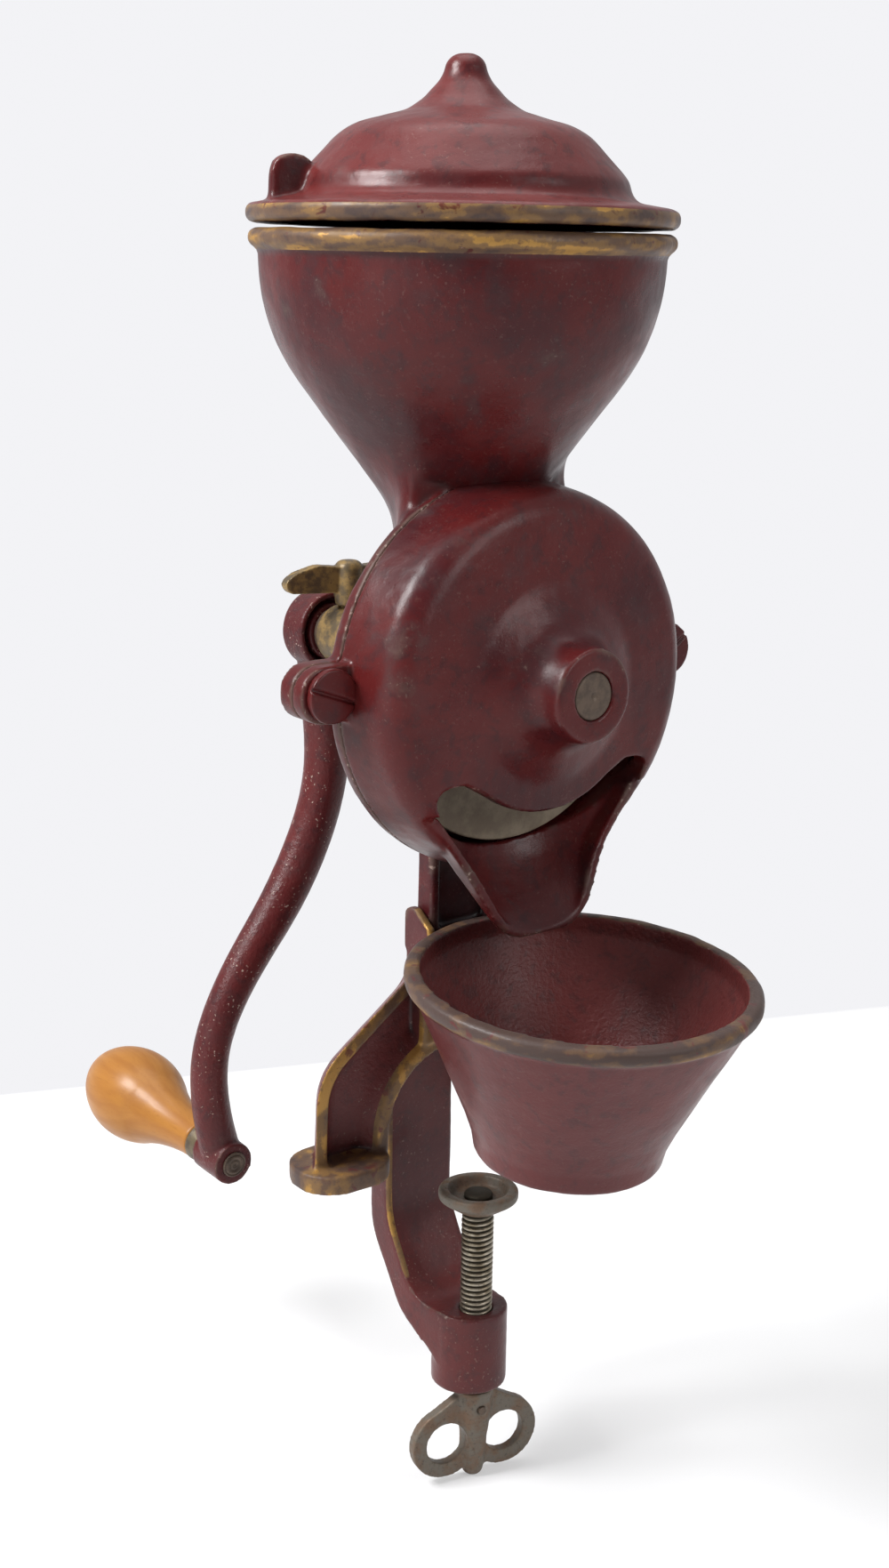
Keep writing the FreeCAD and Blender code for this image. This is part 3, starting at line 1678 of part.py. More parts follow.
def frame_cuts(body):
    """Cuts the screw's bore, the stem's socket and the hole for the stem screw."""
    top = -size["rim_height"] - size["nut_boss_top"]
    bottom = -size["rim_height"] - size["nut_boss_bottom"]
    bore = [(0, -size["hopper_setback"], size["screw_radius"] + running)]
    slab(body, "screw_bore", "XY_Plane", bore, bottom - 1, top + 1, cut=True)
    low = stem_front() + 2.2
    joint = -size["joint_drop"]
    socket = rounded_box(-8.1, 8.1, low - 0.1, low + 3.7, 1)
    depth = size["tongue_length"] + 0.5
    slab(body, "socket", "XY_Plane", socket, joint - depth, joint + 1, cut=True)
    hole = [(0, joint - size["stem_screw_drop"], size["stem_screw_radius"])]
    slab(body, "stem_screw_hole", "XZ_Plane", hole, -30, 6, cut=True)
    seat = [(0, joint - size["stem_screw_drop"], stem_screw_head() + loose)]
    front = head_front()
    slab(body, "stem_screw_seat", "XZ_Plane", seat, front - 1, front + stem_screw_seat(), cut=True)


def stem_screw_head():
    """Radius of the stem screw's head."""
    return size["stem_screw_radius"] * 2


def stem_screw_seat():
    """Depth at which the stem screw's head sits in the frame's head."""
    return as_size(2.3)


def stem_screw():
    """Slotted screw through the frame's head and the stem's tongue, its head let in."""
    body = new_body("stem_screw", HOPPER)
    height = -size["joint_drop"] - size["stem_screw_drop"]
    screws_along_y(
        body,
        [(as_size(0), height)],
        size["stem_screw_radius"],
        stem_screw_head(),
        head_front() + 0.4,
        head_front() + stem_screw_seat(),
        as_size(6),
        slot_turns=(25,),
    )
    return body


def cup():
    """Receiving cup with its rolled rim and the hook on its back."""
    body = new_body("cup", CUP_RIM, axis=(1, 0, 0), angle=size["cup_tilt"])
    rim = size["cup_radius"]
    tall = size["cup_height"]
    foot = size["cup_foot_radius"]
    thick = size["cup_wall"]
    roll = size["cup_roll"]
    turned(
        body,
        "bowl",
        [
            corner(0, roll),
            corner(rim, roll, roll * 0.95),
            corner(rim, -roll, roll * 0.9),
            corner(rim - roll, -roll - 0.8, 1),
            corner(foot + 3.4, -tall + 12.5, 8),
            corner(foot + 0.8, -tall + 6, 6),
            corner(foot - 0.4, -tall, 1.4),
            corner(0, -tall),
        ],
        axis="V_Axis",
    )
    cup_hook(body)
    turned(
        body,
        "inside",
        [
            corner(0, roll + 1),
            corner(rim - 2 * roll, roll + 1),
            corner(rim - 2 * roll, -roll - 1, 2),
            corner(foot + 3.4 - thick, -tall + 13.5, 8),
            corner(foot - thick - 1, -tall + thick, 3),
            corner(0, -tall + thick),
        ],
        axis="V_Axis",
        cut=True,
    )
    return body


def cup_hook(body):
    """Upright rib and cross head on the back of the cup, which drop into the bracket."""
    hang = size["hook_top_drop"] - size["cup_rim_drop"]
    low = -hang - size["hook_height"] + bracket_floor() + loose
    forward = size["cup_forward"]
    front = hook_front() + forward
    tilt = size["cup_tilt"]
    rib = rounded_box(
        -hook_rib_half() + loose, hook_rib_half() - loose, size["cup_foot_radius"] + 7, front + 5
    )
    cross = rounded_box(
        -hook_head_half() + loose, hook_head_half() - loose, front + 3.4, head_front() + forward - 0.6
    )
    for name, outline, top in (("hook_rib", rib, -hang + 1), ("hook_head", cross, -hang)):
        sketch = outline_sketch(
            body,
            f"{name}_outline",
            "XY_Plane",
            outline,
            shift=(0, low * sine(tilt), low * cosine(tilt)),
            turn_axis=(1, 0, 0),
            turn=-tilt,
        )
        made = feature(body, "Pad", name, sketch)
        bind(made, "Length", top - low)


def key_top():
    """Z of the top of the key's hub."""
    return -size["nut_boss_bottom"] - size["key_gap"]


def key_pin_height():
    """Z of the rivet through the key's hub."""
    return key_top() - size["key_spigot_length"] * 0.55


def clamp_screw():
    """Clamp screw with the spigot that carries the pad and the spigot that holds the key."""
    body = new_body("clamp_screw", (0, 0, 0), axis=(0, 0, 1), angle=size["key_turn"])
    pad_top = -size["pad_gap"]
    shoulder = pad_top - size["pad_height"]
    radius = size["screw_radius"]
    spigot = size["spigot_radius"]
    end = key_top() - size["key_spigot_length"]
    turned(
        body,
        "screw",
        [
            corner(0, pad_top - 1.2),
            corner(spigot + 1.1, pad_top - 1.2, 0.6),
            corner(spigot + 1.1, pad_top - 2.7),
            corner(spigot, pad_top - 2.7),
            corner(spigot, shoulder),
            corner(radius, shoulder, 0.6),
            corner(radius, key_top(), 0.3),
            corner(size["key_spigot_radius"], key_top()),
            corner(size["key_spigot_radius"], end),
            corner(0, end),
        ],
        axis="V_Axis",
    )
    hole = [(0, key_pin_height(), size["key_pin_radius"])]
    slab(body, "pin_hole", "XZ_Plane", hole, -10, 10, cut=True)
    return body


def clamp_pad():
    """Cupped pad that swivels on the screw's end."""
    body = new_body("clamp_pad")
    top = -size["pad_gap"]
    low = top - size["pad_height"] + facing
    radius = size["pad_radius"]
    bore = size["spigot_radius"] + running
    floor = top - 2.7 - facing
    turned(
        body,
        "pad",
        [
            corner(radius - 2.8, top, 0.6),
            corner(radius, top, 1),
            corner(radius, top - 2.8, 1.2),
            corner(size["screw_radius"] + 0.9, low, 1.6),
            corner(bore, low),
            corner(bore, floor),
            corner(radius - 4.2, floor, 1),
        ],
        axis="V_Axis",
    )
    return body


def clamp_key():
    """Cast key with a tapered hub and two finger loops, pinned to the screw's end."""
    body = new_body("clamp_key", (0, 0, 0), axis=(0, 0, 1), angle=size["key_turn"])
    middle = -size["key_centre_drop"]
    offset = size["key_loop_offset"]
    loop = size["key_loop_radius"]
    half = size["key_thickness"] / 2
    hub = size["key_hub_radius"]
    bore = size["key_spigot_radius"]
    floor = key_top() - size["key_spigot_length"]
    turned(
        body,
        "hub",
        [
            corner(0, floor),
            corner(bore, floor),
            corner(bore, key_top()),
            corner(hub, key_top(), 0.8),
            corner(hub - 1.6, middle - 2, 20),
            corner(3.0, middle - loop - 1.8, 2.6),
            corner(0, middle - loop - 1.8),
        ],
        axis="V_Axis",
    )
    core = [(0, 0, bore)]
    slab(body, "left_loop", "XZ_Plane", [(-offset, middle, loop)], -half, half)
    slab(body, "right_loop", "XZ_Plane", [(offset, middle, loop)], -half, half)
    shoulder = middle + loop * 0.93
    web = [
        corner(-offset - loop * 0.36, shoulder),
        corner(-hub + 0.3, key_top() - 1.6, 3),
        corner(hub - 0.3, key_top() - 1.6, 3),
        corner(offset + loop * 0.36, shoulder),
        corner(6.4, middle - loop + 1.4, 2),
        corner(-6.4, middle - loop + 1.4, 2),
    ]
    slab(body, "web", "XZ_Plane", web, -half, half)
    slab(body, "bore", "XY_Plane", core, floor, key_top() + 1, cut=True)
    hole = size["key_hole_radius"]
    holes = [(-offset, middle, hole), (offset, middle, hole)]
    slab(body, "holes", "XZ_Plane", holes, -hub, hub, cut=True)
    pin = [(0, key_pin_height(), size["key_pin_radius"])]
    slab(body, "pin_hole", "XZ_Plane", pin, -hub - 1, hub + 1, cut=True)
    return body


def key_pin():
    """Rivet that holds the key on the screw's end."""
    body = new_body("key_pin", (0, 0, 0), axis=(0, 0, 1), angle=size["key_turn"])
    reach = size["key_hub_radius"] + 0.1
    pin = [(0, key_pin_height(), size["key_pin_radius"])]
    slab(body, "pin", "XZ_Plane", pin, -reach, reach)
    return body


def build_all():
    """Builds every sub-part."""
    return [
        hopper_body(),
        front_cover(),
        cover_screws(),
        lid(),
        lid_rivet(),
        spindle(),
        feed_worm(),
        turning_burr(),
        burr_drive_pin(),
        fixed_burr(),
        burr_screws(),
        adjusting_nut(),
        wing_screw(),
        thrust_washer(),
        crank_arm(),
        crank_washer(),
        crank_nut(),
        handle_stud(),
        grip_ferrule(),
        wooden_grip(),
        clamp_frame(),
        stem_screw(),
        cup(),
        clamp_screw(),
        clamp_pad(),
        clamp_key(),
        key_pin(),
    ]


def check_document():
    """Stops on any object that did not build, and on any cut that took nothing away."""
    for obj in doc.Objects:
        if "Invalid" in obj.State or "Error" in obj.State:
            raise RuntimeError(f"{obj.Name} ({obj.Label}) did not build: {obj.State}")
        if obj.TypeId in ("PartDesign::Pocket", "PartDesign::Groove", "PartDesign::SubtractiveLoft"):
            if obj.Shape.Volume >= obj.BaseFeature.Shape.Volume - 1e-6:
                raise RuntimeError(f"{obj.Name} cut nothing")


def write_parts(bodies):
    """Writes each sub-part's shape to its own file."""
    os.makedirs("parts", exist_ok=True)
    for body in bodies:
        shape = body.Shape
        if shape.isNull() or not shape.isValid():
            raise RuntimeError(f"{body.Label} has no valid shape")
        print(f"{body.Label}: {len(shape.Solids)} solid(s), {shape.Volume / 1000:.2f} cm3")
        shape.exportStep(f"parts/{body.Label}.step")


parts = build_all()
doc.recompute()
check_document()
write_parts(parts)
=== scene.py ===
"""Looks of the manual coffee grinder that clamps to a table edge, in metres."""
import json
import math

import bmesh
import bpy
import numpy as np
from mathutils import Matrix, Vector

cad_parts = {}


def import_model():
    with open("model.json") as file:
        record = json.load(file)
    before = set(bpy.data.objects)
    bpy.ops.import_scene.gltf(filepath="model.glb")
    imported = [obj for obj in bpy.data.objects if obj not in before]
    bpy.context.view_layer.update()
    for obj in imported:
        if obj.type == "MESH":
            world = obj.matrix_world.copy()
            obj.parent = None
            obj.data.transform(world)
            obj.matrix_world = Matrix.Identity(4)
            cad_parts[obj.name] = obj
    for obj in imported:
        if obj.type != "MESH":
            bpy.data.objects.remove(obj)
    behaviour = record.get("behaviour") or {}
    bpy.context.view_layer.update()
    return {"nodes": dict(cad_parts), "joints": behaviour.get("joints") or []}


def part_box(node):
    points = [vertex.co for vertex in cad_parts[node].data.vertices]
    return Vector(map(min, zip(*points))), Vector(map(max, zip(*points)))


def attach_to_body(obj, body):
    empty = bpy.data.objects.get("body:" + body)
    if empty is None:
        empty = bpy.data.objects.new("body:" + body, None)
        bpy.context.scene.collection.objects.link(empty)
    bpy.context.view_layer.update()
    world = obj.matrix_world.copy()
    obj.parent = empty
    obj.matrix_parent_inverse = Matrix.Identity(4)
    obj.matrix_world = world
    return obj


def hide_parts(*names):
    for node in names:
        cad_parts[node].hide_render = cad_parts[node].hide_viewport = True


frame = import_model()

MM = 0.001

# Places and sizes that the finish follows, in millimetres
HOPPER_SETBACK = 15.6
RIM_HEIGHT = 258.0
SHAFT_HEIGHT = 143.4
BEAD_RADIUS = 57.5
BEAD_HALF = 2.5
LID_FLANGE = 4.8
LID_RADIUS = 58.0
LID_STEP = (5.5, 15.5)
KNOB_FOOT = 32.5
KNOB_FLARE = 1.9
THROAT_RADIUS = 10.5
THROAT_SETBACK = 4.0
THROAT_WALL = 4.0
THROAT_HEIGHTS = (158.0, 183.2)
CUP_FORWARD = 57.6
CUP_RIM_DROP = 193.1
CUP_RADIUS = 48.7
CUP_TILT = 4.7
SPINE_HALF = 12.4
JOINT_DROP = 193.5
LEG_FRONT = 6.5
LEG_WEB_FRONT = 0.9
HEAD_HALF = 14.8
FOOT_THICKNESS = 5.5
FLOOR_HEIGHT = -103.8

# Where the neck begins, comes clear of the cover and ends, above the shaft
NECK_FOOT = (24.0, 36.0)
NECK_CLEAR = (53.0, 57.0)
NECK_TOP = (74.0, 88.0)

# Turned pieces, along their axes and across them
SPINDLE_RADIUS = 6.5
SPINDLE_COLLAR = (7.2, 24.8)
COLLAR_RADIUS = 7.6
REAR_JOURNAL_RADIUS = 5.5
CRANK_SEAT = (57.6, 68.5)
CRANK_SEAT_RADIUS = 5.0
SPINDLE_THREAD_RADIUS = 4.0
END_ROUNDING = 0.8
CRANK_SIDE = 37.2
CRANK_DROP = 162.6
CRANK_PLANE = 64.5
CRANK_HALF_DEPTH = 6.8
STUD_HEAD = (67.25, 69.05)
STUD_HEAD_RADIUS = 5.0
STUD_RADIUS = 3.2
HANDLE_TILT = 3.9
SCREW_RADIUS = 4.76
SCREW_PITCH = 1.5875
THREAD_DEPTH = 0.85
THREAD_RUNOUT = 2.2
PAD_GAP = 10.5
PAD_HEIGHT = 7.0
PAD_SPIGOT = 3.1
KEY_TOP = 74.6
KEY_SPIGOT_RADIUS = 3.0
KEY_SPIGOT_LENGTH = 10.0

# Colour of the wall, and two pixels of the photograph where the table meets it
PALE_WALL = (0.895, 0.895, 0.92, 1)
TABLE_LINE = ((0, 1230), (1000, 1130))

# Colours of the enamel, of what shows through it or lies on it, and of light and shade painted on it
OXBLOOD = (0.04, 0.0058, 0.0078)
OXBLOOD_WARM = (0.074, 0.0078, 0.0078)
OXBLOOD_GREY = (0.036, 0.015, 0.017)
# brighter red for fading enamel, and for painted light on the lid's top, the cup's inside and the
# legs
OXBLOOD_FADED_AND_LIT = (0.115, 0.019, 0.018)
OXBLOOD_STAINED = (0.027, 0.01, 0.012)
PINK_DUST = (0.125, 0.055, 0.048)
GREY_DUST = (0.15, 0.085, 0.082)
# painted shade for the hollows and creases of the castings
CREASE_SHADE = (0.018, 0.01, 0.01)
RUBBED_ENAMEL = (0.1, 0.06, 0.048)
CHIPPED_ENAMEL = (0.33, 0.24, 0.2)
TRIM_WORN = (0.06, 0.038, 0.032)
TRIM_BROWN = (0.1, 0.058, 0.036)
TRIM_OLIVE = (0.17, 0.095, 0.038)
TRIM_GOLD = (0.36, 0.2, 0.056)


def smooth_step(values, low, high):
    """0 below low, 1 above high, and a soft change between them."""
    share = np.clip((values - low) / (high - low), 0, 1)
    return share * share * (3 - 2 * share)


def soft_fall(values, low, high):
    """1 below low, 0 above high, and a soft change between them."""
    return smooth_step(-values, -high, -low)


def relax(points, edges, share, rounds):
    """Moves each point by a share of the way to the mean of its neighbours, round by round."""
    first, second = edges
    count = len(points)
    degree = np.bincount(first, minlength=count) + np.bincount(second, minlength=count)
    for _ in range(rounds):
        mean = np.empty_like(points)
        for axis in range(3):
            column = points[:, axis]
            mean[:, axis] = np.bincount(first, column[second], count)
            mean[:, axis] += np.bincount(second, column[first], count)
        mean /= np.maximum(degree, 1)[:, None]
        points += (mean - points) * share
    return points


class Surface:
    """Points, normals and edges of a mesh as arrays, in millimetres."""

    def __init__(self, mesh):
        self.mesh = mesh
        count = len(mesh.vertices)
        flat = np.empty(count * 3, np.float32)
        mesh.vertices.foreach_get("co", flat)
        self.points = flat.reshape(-1, 3).astype(float) / MM
        normals = np.empty(count * 3, np.float32)
        mesh.vertex_normals.foreach_get("vector", normals)
        self.normals = normals.reshape(-1, 3).astype(float)
        pairs = np.empty(len(mesh.edges) * 2, np.int32)
        mesh.edges.foreach_get("vertices", pairs)
        self.edges = pairs.reshape(-1, 2)

    def convexity(self, rounds):
        """How far each point stands out of its surroundings, in millimetres."""
        relaxed = relax(self.points.copy(), self.edges.T, 0.5, rounds)
        return ((self.points - relaxed) * self.normals).sum(1)

    def melt(self, weights, rounds):
        """Rounds off the shape where the weights are above 0."""
        moving = weights > 0.001
        kept = moving[self.edges[:, 0]] | moving[self.edges[:, 1]]
        near, flat = np.unique(self.edges[kept], return_inverse=True)
        share = (weights[near] * 0.5)[:, None]
        self.points[near] = relax(self.points[near], flat.reshape(-1, 2).T, share, rounds)
        self.write()

    def move(self, shifts):
        """Moves the points along their normals."""
        self.points = self.points + self.normals * shifts[:, None]
        self.write()

    def write(self):
        """Gives the points back to the mesh."""
        self.mesh.vertices.foreach_set("co", (self.points * MM).astype(np.float32).ravel())
        self.mesh.update()

    def store(self, name, values):
        """Keeps a value for each point, for the materials to read."""
        attribute = self.mesh.attributes.new(name, "FLOAT", "POINT")
        attribute.data.foreach_set("value", np.asarray(values, np.float32))


def undulation(points, wavelength, seed):
    """Smooth uneven waves of about that wavelength, mostly between -1 and 1."""
    generator = np.random.default_rng(seed)
    total = np.zeros(len(points))
    waves = 9
    for _ in range(waves):
        direction = generator.normal(size=3)
        direction /= np.linalg.norm(direction)
        length = wavelength * generator.uniform(0.7, 1.5)
        phase = generator.uniform(0, 2 * math.pi)
        total += np.sin(points @ direction * (2 * math.pi / length) + phase)
    return total / math.sqrt(waves) / 1.5


def new_object(name, data):
    """Links a new object that holds a mesh, a camera or a light."""
    obj = bpy.data.objects.new(name, data)
    bpy.context.scene.collection.objects.link(obj)
    return obj


def weld(obj, distance):
    """Joins points that are nearer to each other than that many millimetres."""
    modifier = obj.modifiers.new("weld", "WELD")
    modifier.merge_threshold = distance * MM


def settle_modifiers(obj):
    """Turns an object's modifiers into its mesh."""
    depsgraph = bpy.context.evaluated_depsgraph_get()
    mesh = bpy.data.meshes.new_from_object(obj.evaluated_get(depsgraph))
    obj.modifiers.clear()
    obj.data = mesh
    mesh.shade_smooth()


def soft_copy(name, node, voxel, rounds, added=None):
    """Copy of a CAD node, with an added solid if any, with a casting's rounded corners."""
    obj = new_object(name, frame["nodes"][node].data.copy())
    if added is not None:
        joined = bmesh.new()
        joined.from_mesh(obj.data)
        joined.from_mesh(added)
        joined.to_mesh(obj.data)
        joined.free()
    weld(obj, 0.002)
    remesh = obj.modifiers.new("remesh", "REMESH")
    remesh.mode = "VOXEL"
    remesh.voxel_size = voxel * MM
    smooth = obj.modifiers.new("smooth", "SMOOTH")
    smooth.factor = 0.5
    smooth.iterations = rounds
    settle_modifiers(obj)
    return obj


def attach(obj, body, nodes, material):
    """Puts a piece in the place of CAD nodes."""
    obj.data.materials.clear()
    obj.data.materials.append(material)
    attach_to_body(obj, body)
    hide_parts(*nodes)


def lathe(name, outline, place, tilt=0.0, segments=96):
    """Turned solid about an axis along +Y, given its closed outline of (y, radius) pairs."""
    vertices = []
    faces = []
    count = len(outline)
    turn = Matrix.Rotation(math.radians(tilt), 4, "X")
    for step in range(segments):
        angle = 2 * math.pi * step / segments
        for along_axis, radius in outline:
            point = Vector((radius * math.cos(angle), along_axis, radius * math.sin(angle)))
            vertices.append((turn @ point + Vector(place)) * MM)
    for step in range(segments):
        here = step * count
        there = (step + 1) % segments * count
        for index in range(count - 1):
            faces.append((here + index, here + index + 1, there + index + 1, there + index))
    mesh = bpy.data.meshes.new(name)
    mesh.from_pydata(vertices, [], faces)
    obj = new_object(name, mesh)
    weld(obj, 0.001)
    settle_modifiers(obj)
    return obj


class NodeTree:
    """Adds nodes to an emptied node tree."""

    def __init__(self, owner):
        owner.use_nodes = True
        self.tree = owner.node_tree
        self.tree.nodes.clear()

    def add(self, kind, **settings):
        """Adds a node."""
        node = self.tree.nodes.new(kind)
        for name, value in settings.items():
            setattr(node, name, value)
        return node

    def feed(self, socket, value):
        """Links an output to a socket, or sets a plain value."""
        if isinstance(value, bpy.types.NodeSocket):
            self.tree.links.new(value, socket)
        elif isinstance(value, tuple) and len(value) == 3 and socket.type == "RGBA":
            socket.default_value = (*value, 1.0)
        else:
            socket.default_value = value

    def step(self, value, low, high, start=0.0, end=1.0):
        """Soft change from start to end while the value goes from low to high."""
        node = self.add("ShaderNodeMapRange", interpolation_type="SMOOTHSTEP")
        sockets = ("Value", "From Min", "From Max", "To Min", "To Max")
        for socket, item in zip(sockets, (value, low, high, start, end)):
            self.feed(node.inputs[socket], item)
        return node.outputs[0]

    def maths(self, operation, first, second=0.0, third=0.0):
        """One arithmetic step."""
        node = self.add("ShaderNodeMath", operation=operation)
        for index, item in enumerate((first, second, third)):
            self.feed(node.inputs[index], item)
        return node.outputs[0]

    def mix(self, share, first, second):
        """Blend of two colours."""
        node = self.add("ShaderNodeMix", data_type="RGBA")
        self.feed(node.inputs[0], share)
        self.feed(node.inputs[6], first)
        self.feed(node.inputs[7], second)
        return node.outputs[2]

    def mix_shaders(self, share, first, second):
        """Blend of two shaders."""
        node = self.add("ShaderNodeMixShader")
        for index, item in enumerate((share, first, second)):
            self.feed(node.inputs[index], item)
        return node.outputs[0]


class Painter(NodeTree):
    """Builds the nodes of one material."""

    def __init__(self, name):
        self.material = bpy.data.materials.new(name)
        super().__init__(self.material)
        self.shader = self.add("ShaderNodeBsdfPrincipled")
        output = self.add("ShaderNodeOutputMaterial")
        self.feed(output.inputs[0], self.shader.outputs[0])
        self.place = self.add("ShaderNodeTexCoord").outputs["Object"]

    def noise(self, size, detail=3.0, rough=0.5, twist=0.0, place=None):
        """Noise whose features are about that many millimetres across."""
        node = self.add("ShaderNodeTexNoise")
        self.feed(node.inputs["Vector"], self.place if place is None else place)
        node.inputs["Scale"].default_value = 1 / (size * MM)
        node.inputs["Detail"].default_value = detail
        node.inputs["Roughness"].default_value = rough
        node.inputs["Distortion"].default_value = twist
        return node.outputs[0]

    def stretched(self, scale, turn):
        """Coordinates scaled and turned."""
        node = self.add("ShaderNodeMapping")
        self.feed(node.inputs["Vector"], self.place)
        node.inputs["Rotation"].default_value = turn
        node.inputs["Scale"].default_value = scale
        return node.outputs[0]

    def attribute(self, name):
        """A value kept with the mesh."""
        return self.add("ShaderNodeAttribute", attribute_name=name).outputs["Fac"]

    def bump(self, height, depth, normal=None):
        """Small relief whose full height is that many millimetres."""
        node = self.add("ShaderNodeBump")
        node.inputs["Distance"].default_value = depth * MM
        self.feed(node.inputs["Height"], height)
        if normal is not None:
            self.feed(node.inputs["Normal"], normal)
        return node.outputs[0]

    def finish(self, colour, roughness, normal, metallic=0.0, specular=0.5):
        """Feeds the shader."""
        self.feed(self.shader.inputs["Base Color"], colour)
        self.feed(self.shader.inputs["Roughness"], roughness)
        self.feed(self.shader.inputs["Metallic"], metallic)
        self.shader.inputs["Specular IOR Level"].default_value = specular
        self.feed(self.shader.inputs["Normal"], normal)
        return self.material


def painted_iron():
    """Worn oxblood enamel over cast iron, with rubbed gold trim where it is kept as gold."""
    paint = Painter("painted_iron")
    broad = paint.noise(38, 3, 0.55)
    patch = paint.noise(13, 4, 0.6)
    grain = paint.noise(0.75, 3, 0.6)
    grit = paint.noise(0.42, 2, 0.6)
    speck = paint.noise(1.3, 2, 0.5)
    colour = paint.mix(paint.step(broad, 0.38, 0.62), OXBLOOD, OXBLOOD_WARM)
    colour = paint.mix(paint.step(patch, 0.5, 0.72, 0.0, 0.65), colour, OXBLOOD_GREY)
    # Fading, and painted light: lighter lid top, cup inside, cover front and legs.
    colour = paint.mix(paint.attribute("fade"), colour, OXBLOOD_FADED_AND_LIT)
    stain = paint.noise(4.5, 5, 0.65, twist=0.4)
    colour = paint.mix(paint.step(stain, 0.5, 0.66, 0.0, 0.45), colour, OXBLOOD_STAINED)
    dust = paint.noise(1.5, 4, 0.7)
    colour = paint.mix(paint.step(dust, 0.56, 0.74, 0.0, 0.3), colour, PINK_DUST)
    colour = paint.mix(paint.attribute("dust"), colour, GREY_DUST)
    curve = paint.attribute("curve")
    # Painted shade: darker where the surface is hollow, in creases and corners.
    colour = paint.mix(paint.step(curve, -0.06, -0.45, 0.0, 0.8), colour, CREASE_SHADE)
    worn = paint.maths("MULTIPLY_ADD", paint.maths("SUBTRACT", patch, 0.5), 1.3, curve)
    rubbed = paint.step(worn, 0.2, 0.52, 0.0, 0.75)
    colour = paint.mix(rubbed, colour, RUBBED_ENAMEL)
    chips = paint.maths(
        "MULTIPLY", paint.step(speck, 0.62, 0.68), paint.step(worn, 0.22, 0.5, 0.0, 0.8)
    )
    sparse = paint.step(paint.noise(8.0, 2, 0.5), 0.47, 0.58)
    dots = paint.step(paint.noise(0.85, 2, 0.5), 0.64, 0.7)
    dotted = paint.maths("MULTIPLY", paint.maths("MULTIPLY", sparse, dots), paint.attribute("chip"))
    colour = paint.mix(paint.maths("MAXIMUM", chips, dotted), colour, CHIPPED_ENAMEL)
    gold = gold_trim(paint)
    colour = paint.mix(gold["share"], colour, gold["colour"])
    rough = paint.step(patch, 0.35, 0.7, 0.27, 0.4)
    rough = paint.maths("ADD", rough, paint.maths("MULTIPLY", rubbed, 0.14))
    rough = paint.maths("ADD", rough, paint.maths("MULTIPLY", gold["share"], 0.1))
    rough = paint.maths("ADD", rough, paint.maths("MULTIPLY", paint.attribute("sand"), 0.08))
    sand = paint.maths("MULTIPLY", paint.noise(1.2, 3, 0.6), paint.attribute("sand"))
    relief = paint.bump(sand, 0.3)
    relief = paint.bump(grit, 0.022, relief)
    relief = paint.bump(grain, 0.04, relief)
    relief = paint.bump(paint.noise(4.5, 2, 0.5), 0.1, relief)
    metal = paint.maths("MULTIPLY", gold["share"], gold["shine"])
    return paint.finish(colour, rough, relief, metal, specular=0.24)


def gold_trim(paint):
    """Gold paint rubbed to olive brown and grey: its share, colour and metal share."""
    fine = paint.maths("MULTIPLY_ADD", paint.noise(1.8, 5, 0.65), 1.3, -0.65)
    rich = paint.maths("ADD", paint.attribute("rich"), fine)
    colour = paint.mix(paint.step(rich, -0.7, -0.2), TRIM_WORN, TRIM_BROWN)
    colour = paint.mix(paint.step(rich, -0.1, 0.35), colour, TRIM_OLIVE)
    bright = paint.step(rich, 0.5, 0.85)
    colour = paint.mix(bright, colour, TRIM_GOLD)
    lost = paint.step(paint.noise(5.0, 3, 0.6, twist=0.6), 0.6, 0.68, 1.0, 0.2)
    share = paint.maths("MULTIPLY", paint.step(paint.attribute("gold"), 0.35, 0.6), lost)
    return {"share": share, "colour": colour, "shine": paint.maths("MULTIPLY", bright, 0.5)}


def gold_metal():
    """Gold painted iron, brown in patches and brightest on its corners."""
    olive, gold = (0.11, 0.08, 0.046), (0.27, 0.175, 0.066)
    dirt, bright = (0.075, 0.055, 0.042), (0.4, 0.26, 0.095)
    paint = Painter("gold_paint")
    wear = paint.noise(4.5, 5, 0.6)
    fine = paint.noise(1.0, 3, 0.6)
    colour = paint.mix(paint.step(wear, 0.4, 0.6), olive, gold)
    colour = paint.mix(paint.step(fine, 0.58, 0.72, 0.0, 0.7), colour, dirt)
    edge = paint.step(paint.attribute("curve"), 0.1, 0.4, 0.0, 0.6)
    colour = paint.mix(edge, colour, bright)
    relief = paint.bump(fine, 0.06)
    return paint.finish(colour, paint.step(wear, 0.3, 0.7, 0.36, 0.52), relief, 0.4, 0.3)


def dark_iron():
    """Bare cast iron, dark grey with brown rust in it."""
    iron, rusty = (0.13, 0.112, 0.09), (0.135, 0.085, 0.055)
    pits, bright = (0.042, 0.034, 0.027), (0.2, 0.155, 0.11)
    paint = Painter("dark_iron")
    rust = paint.noise(5.0, 5, 0.62)
    grain = paint.noise(0.9, 4, 0.65)
    colour = paint.mix(paint.step(rust, 0.4, 0.64), iron, rusty)
    colour = paint.mix(paint.step(grain, 0.55, 0.72, 0.0, 0.6), colour, pits)
    edge = paint.step(paint.attribute("curve"), 0.05, 0.3, 0.0, 0.55)
    colour = paint.mix(edge, colour, bright)
    relief = paint.bump(grain, 0.08)
    return paint.finish(colour, paint.step(grain, 0.3, 0.7, 0.42, 0.62), relief, 0.25, 0.3)


def burr_iron():
    """Ground chilled iron of the burrs, pale grey with coffee dust."""
    iron, pale, coffee = (0.17, 0.135, 0.098), (0.25, 0.208, 0.152), (0.13, 0.095, 0.065)
    paint = Painter("burr_iron")
    cloud = paint.noise(7.0, 4, 0.6)
    grain = paint.noise(0.8, 4, 0.7)
    colour = paint.mix(paint.step(cloud, 0.35, 0.65), iron, pale)
    colour = paint.mix(paint.step(grain, 0.55, 0.75, 0.0, 0.6), colour, coffee)
    relief = paint.bump(grain, 0.05)
    return paint.finish(colour, 0.66, relief, 0.1, 0.25)


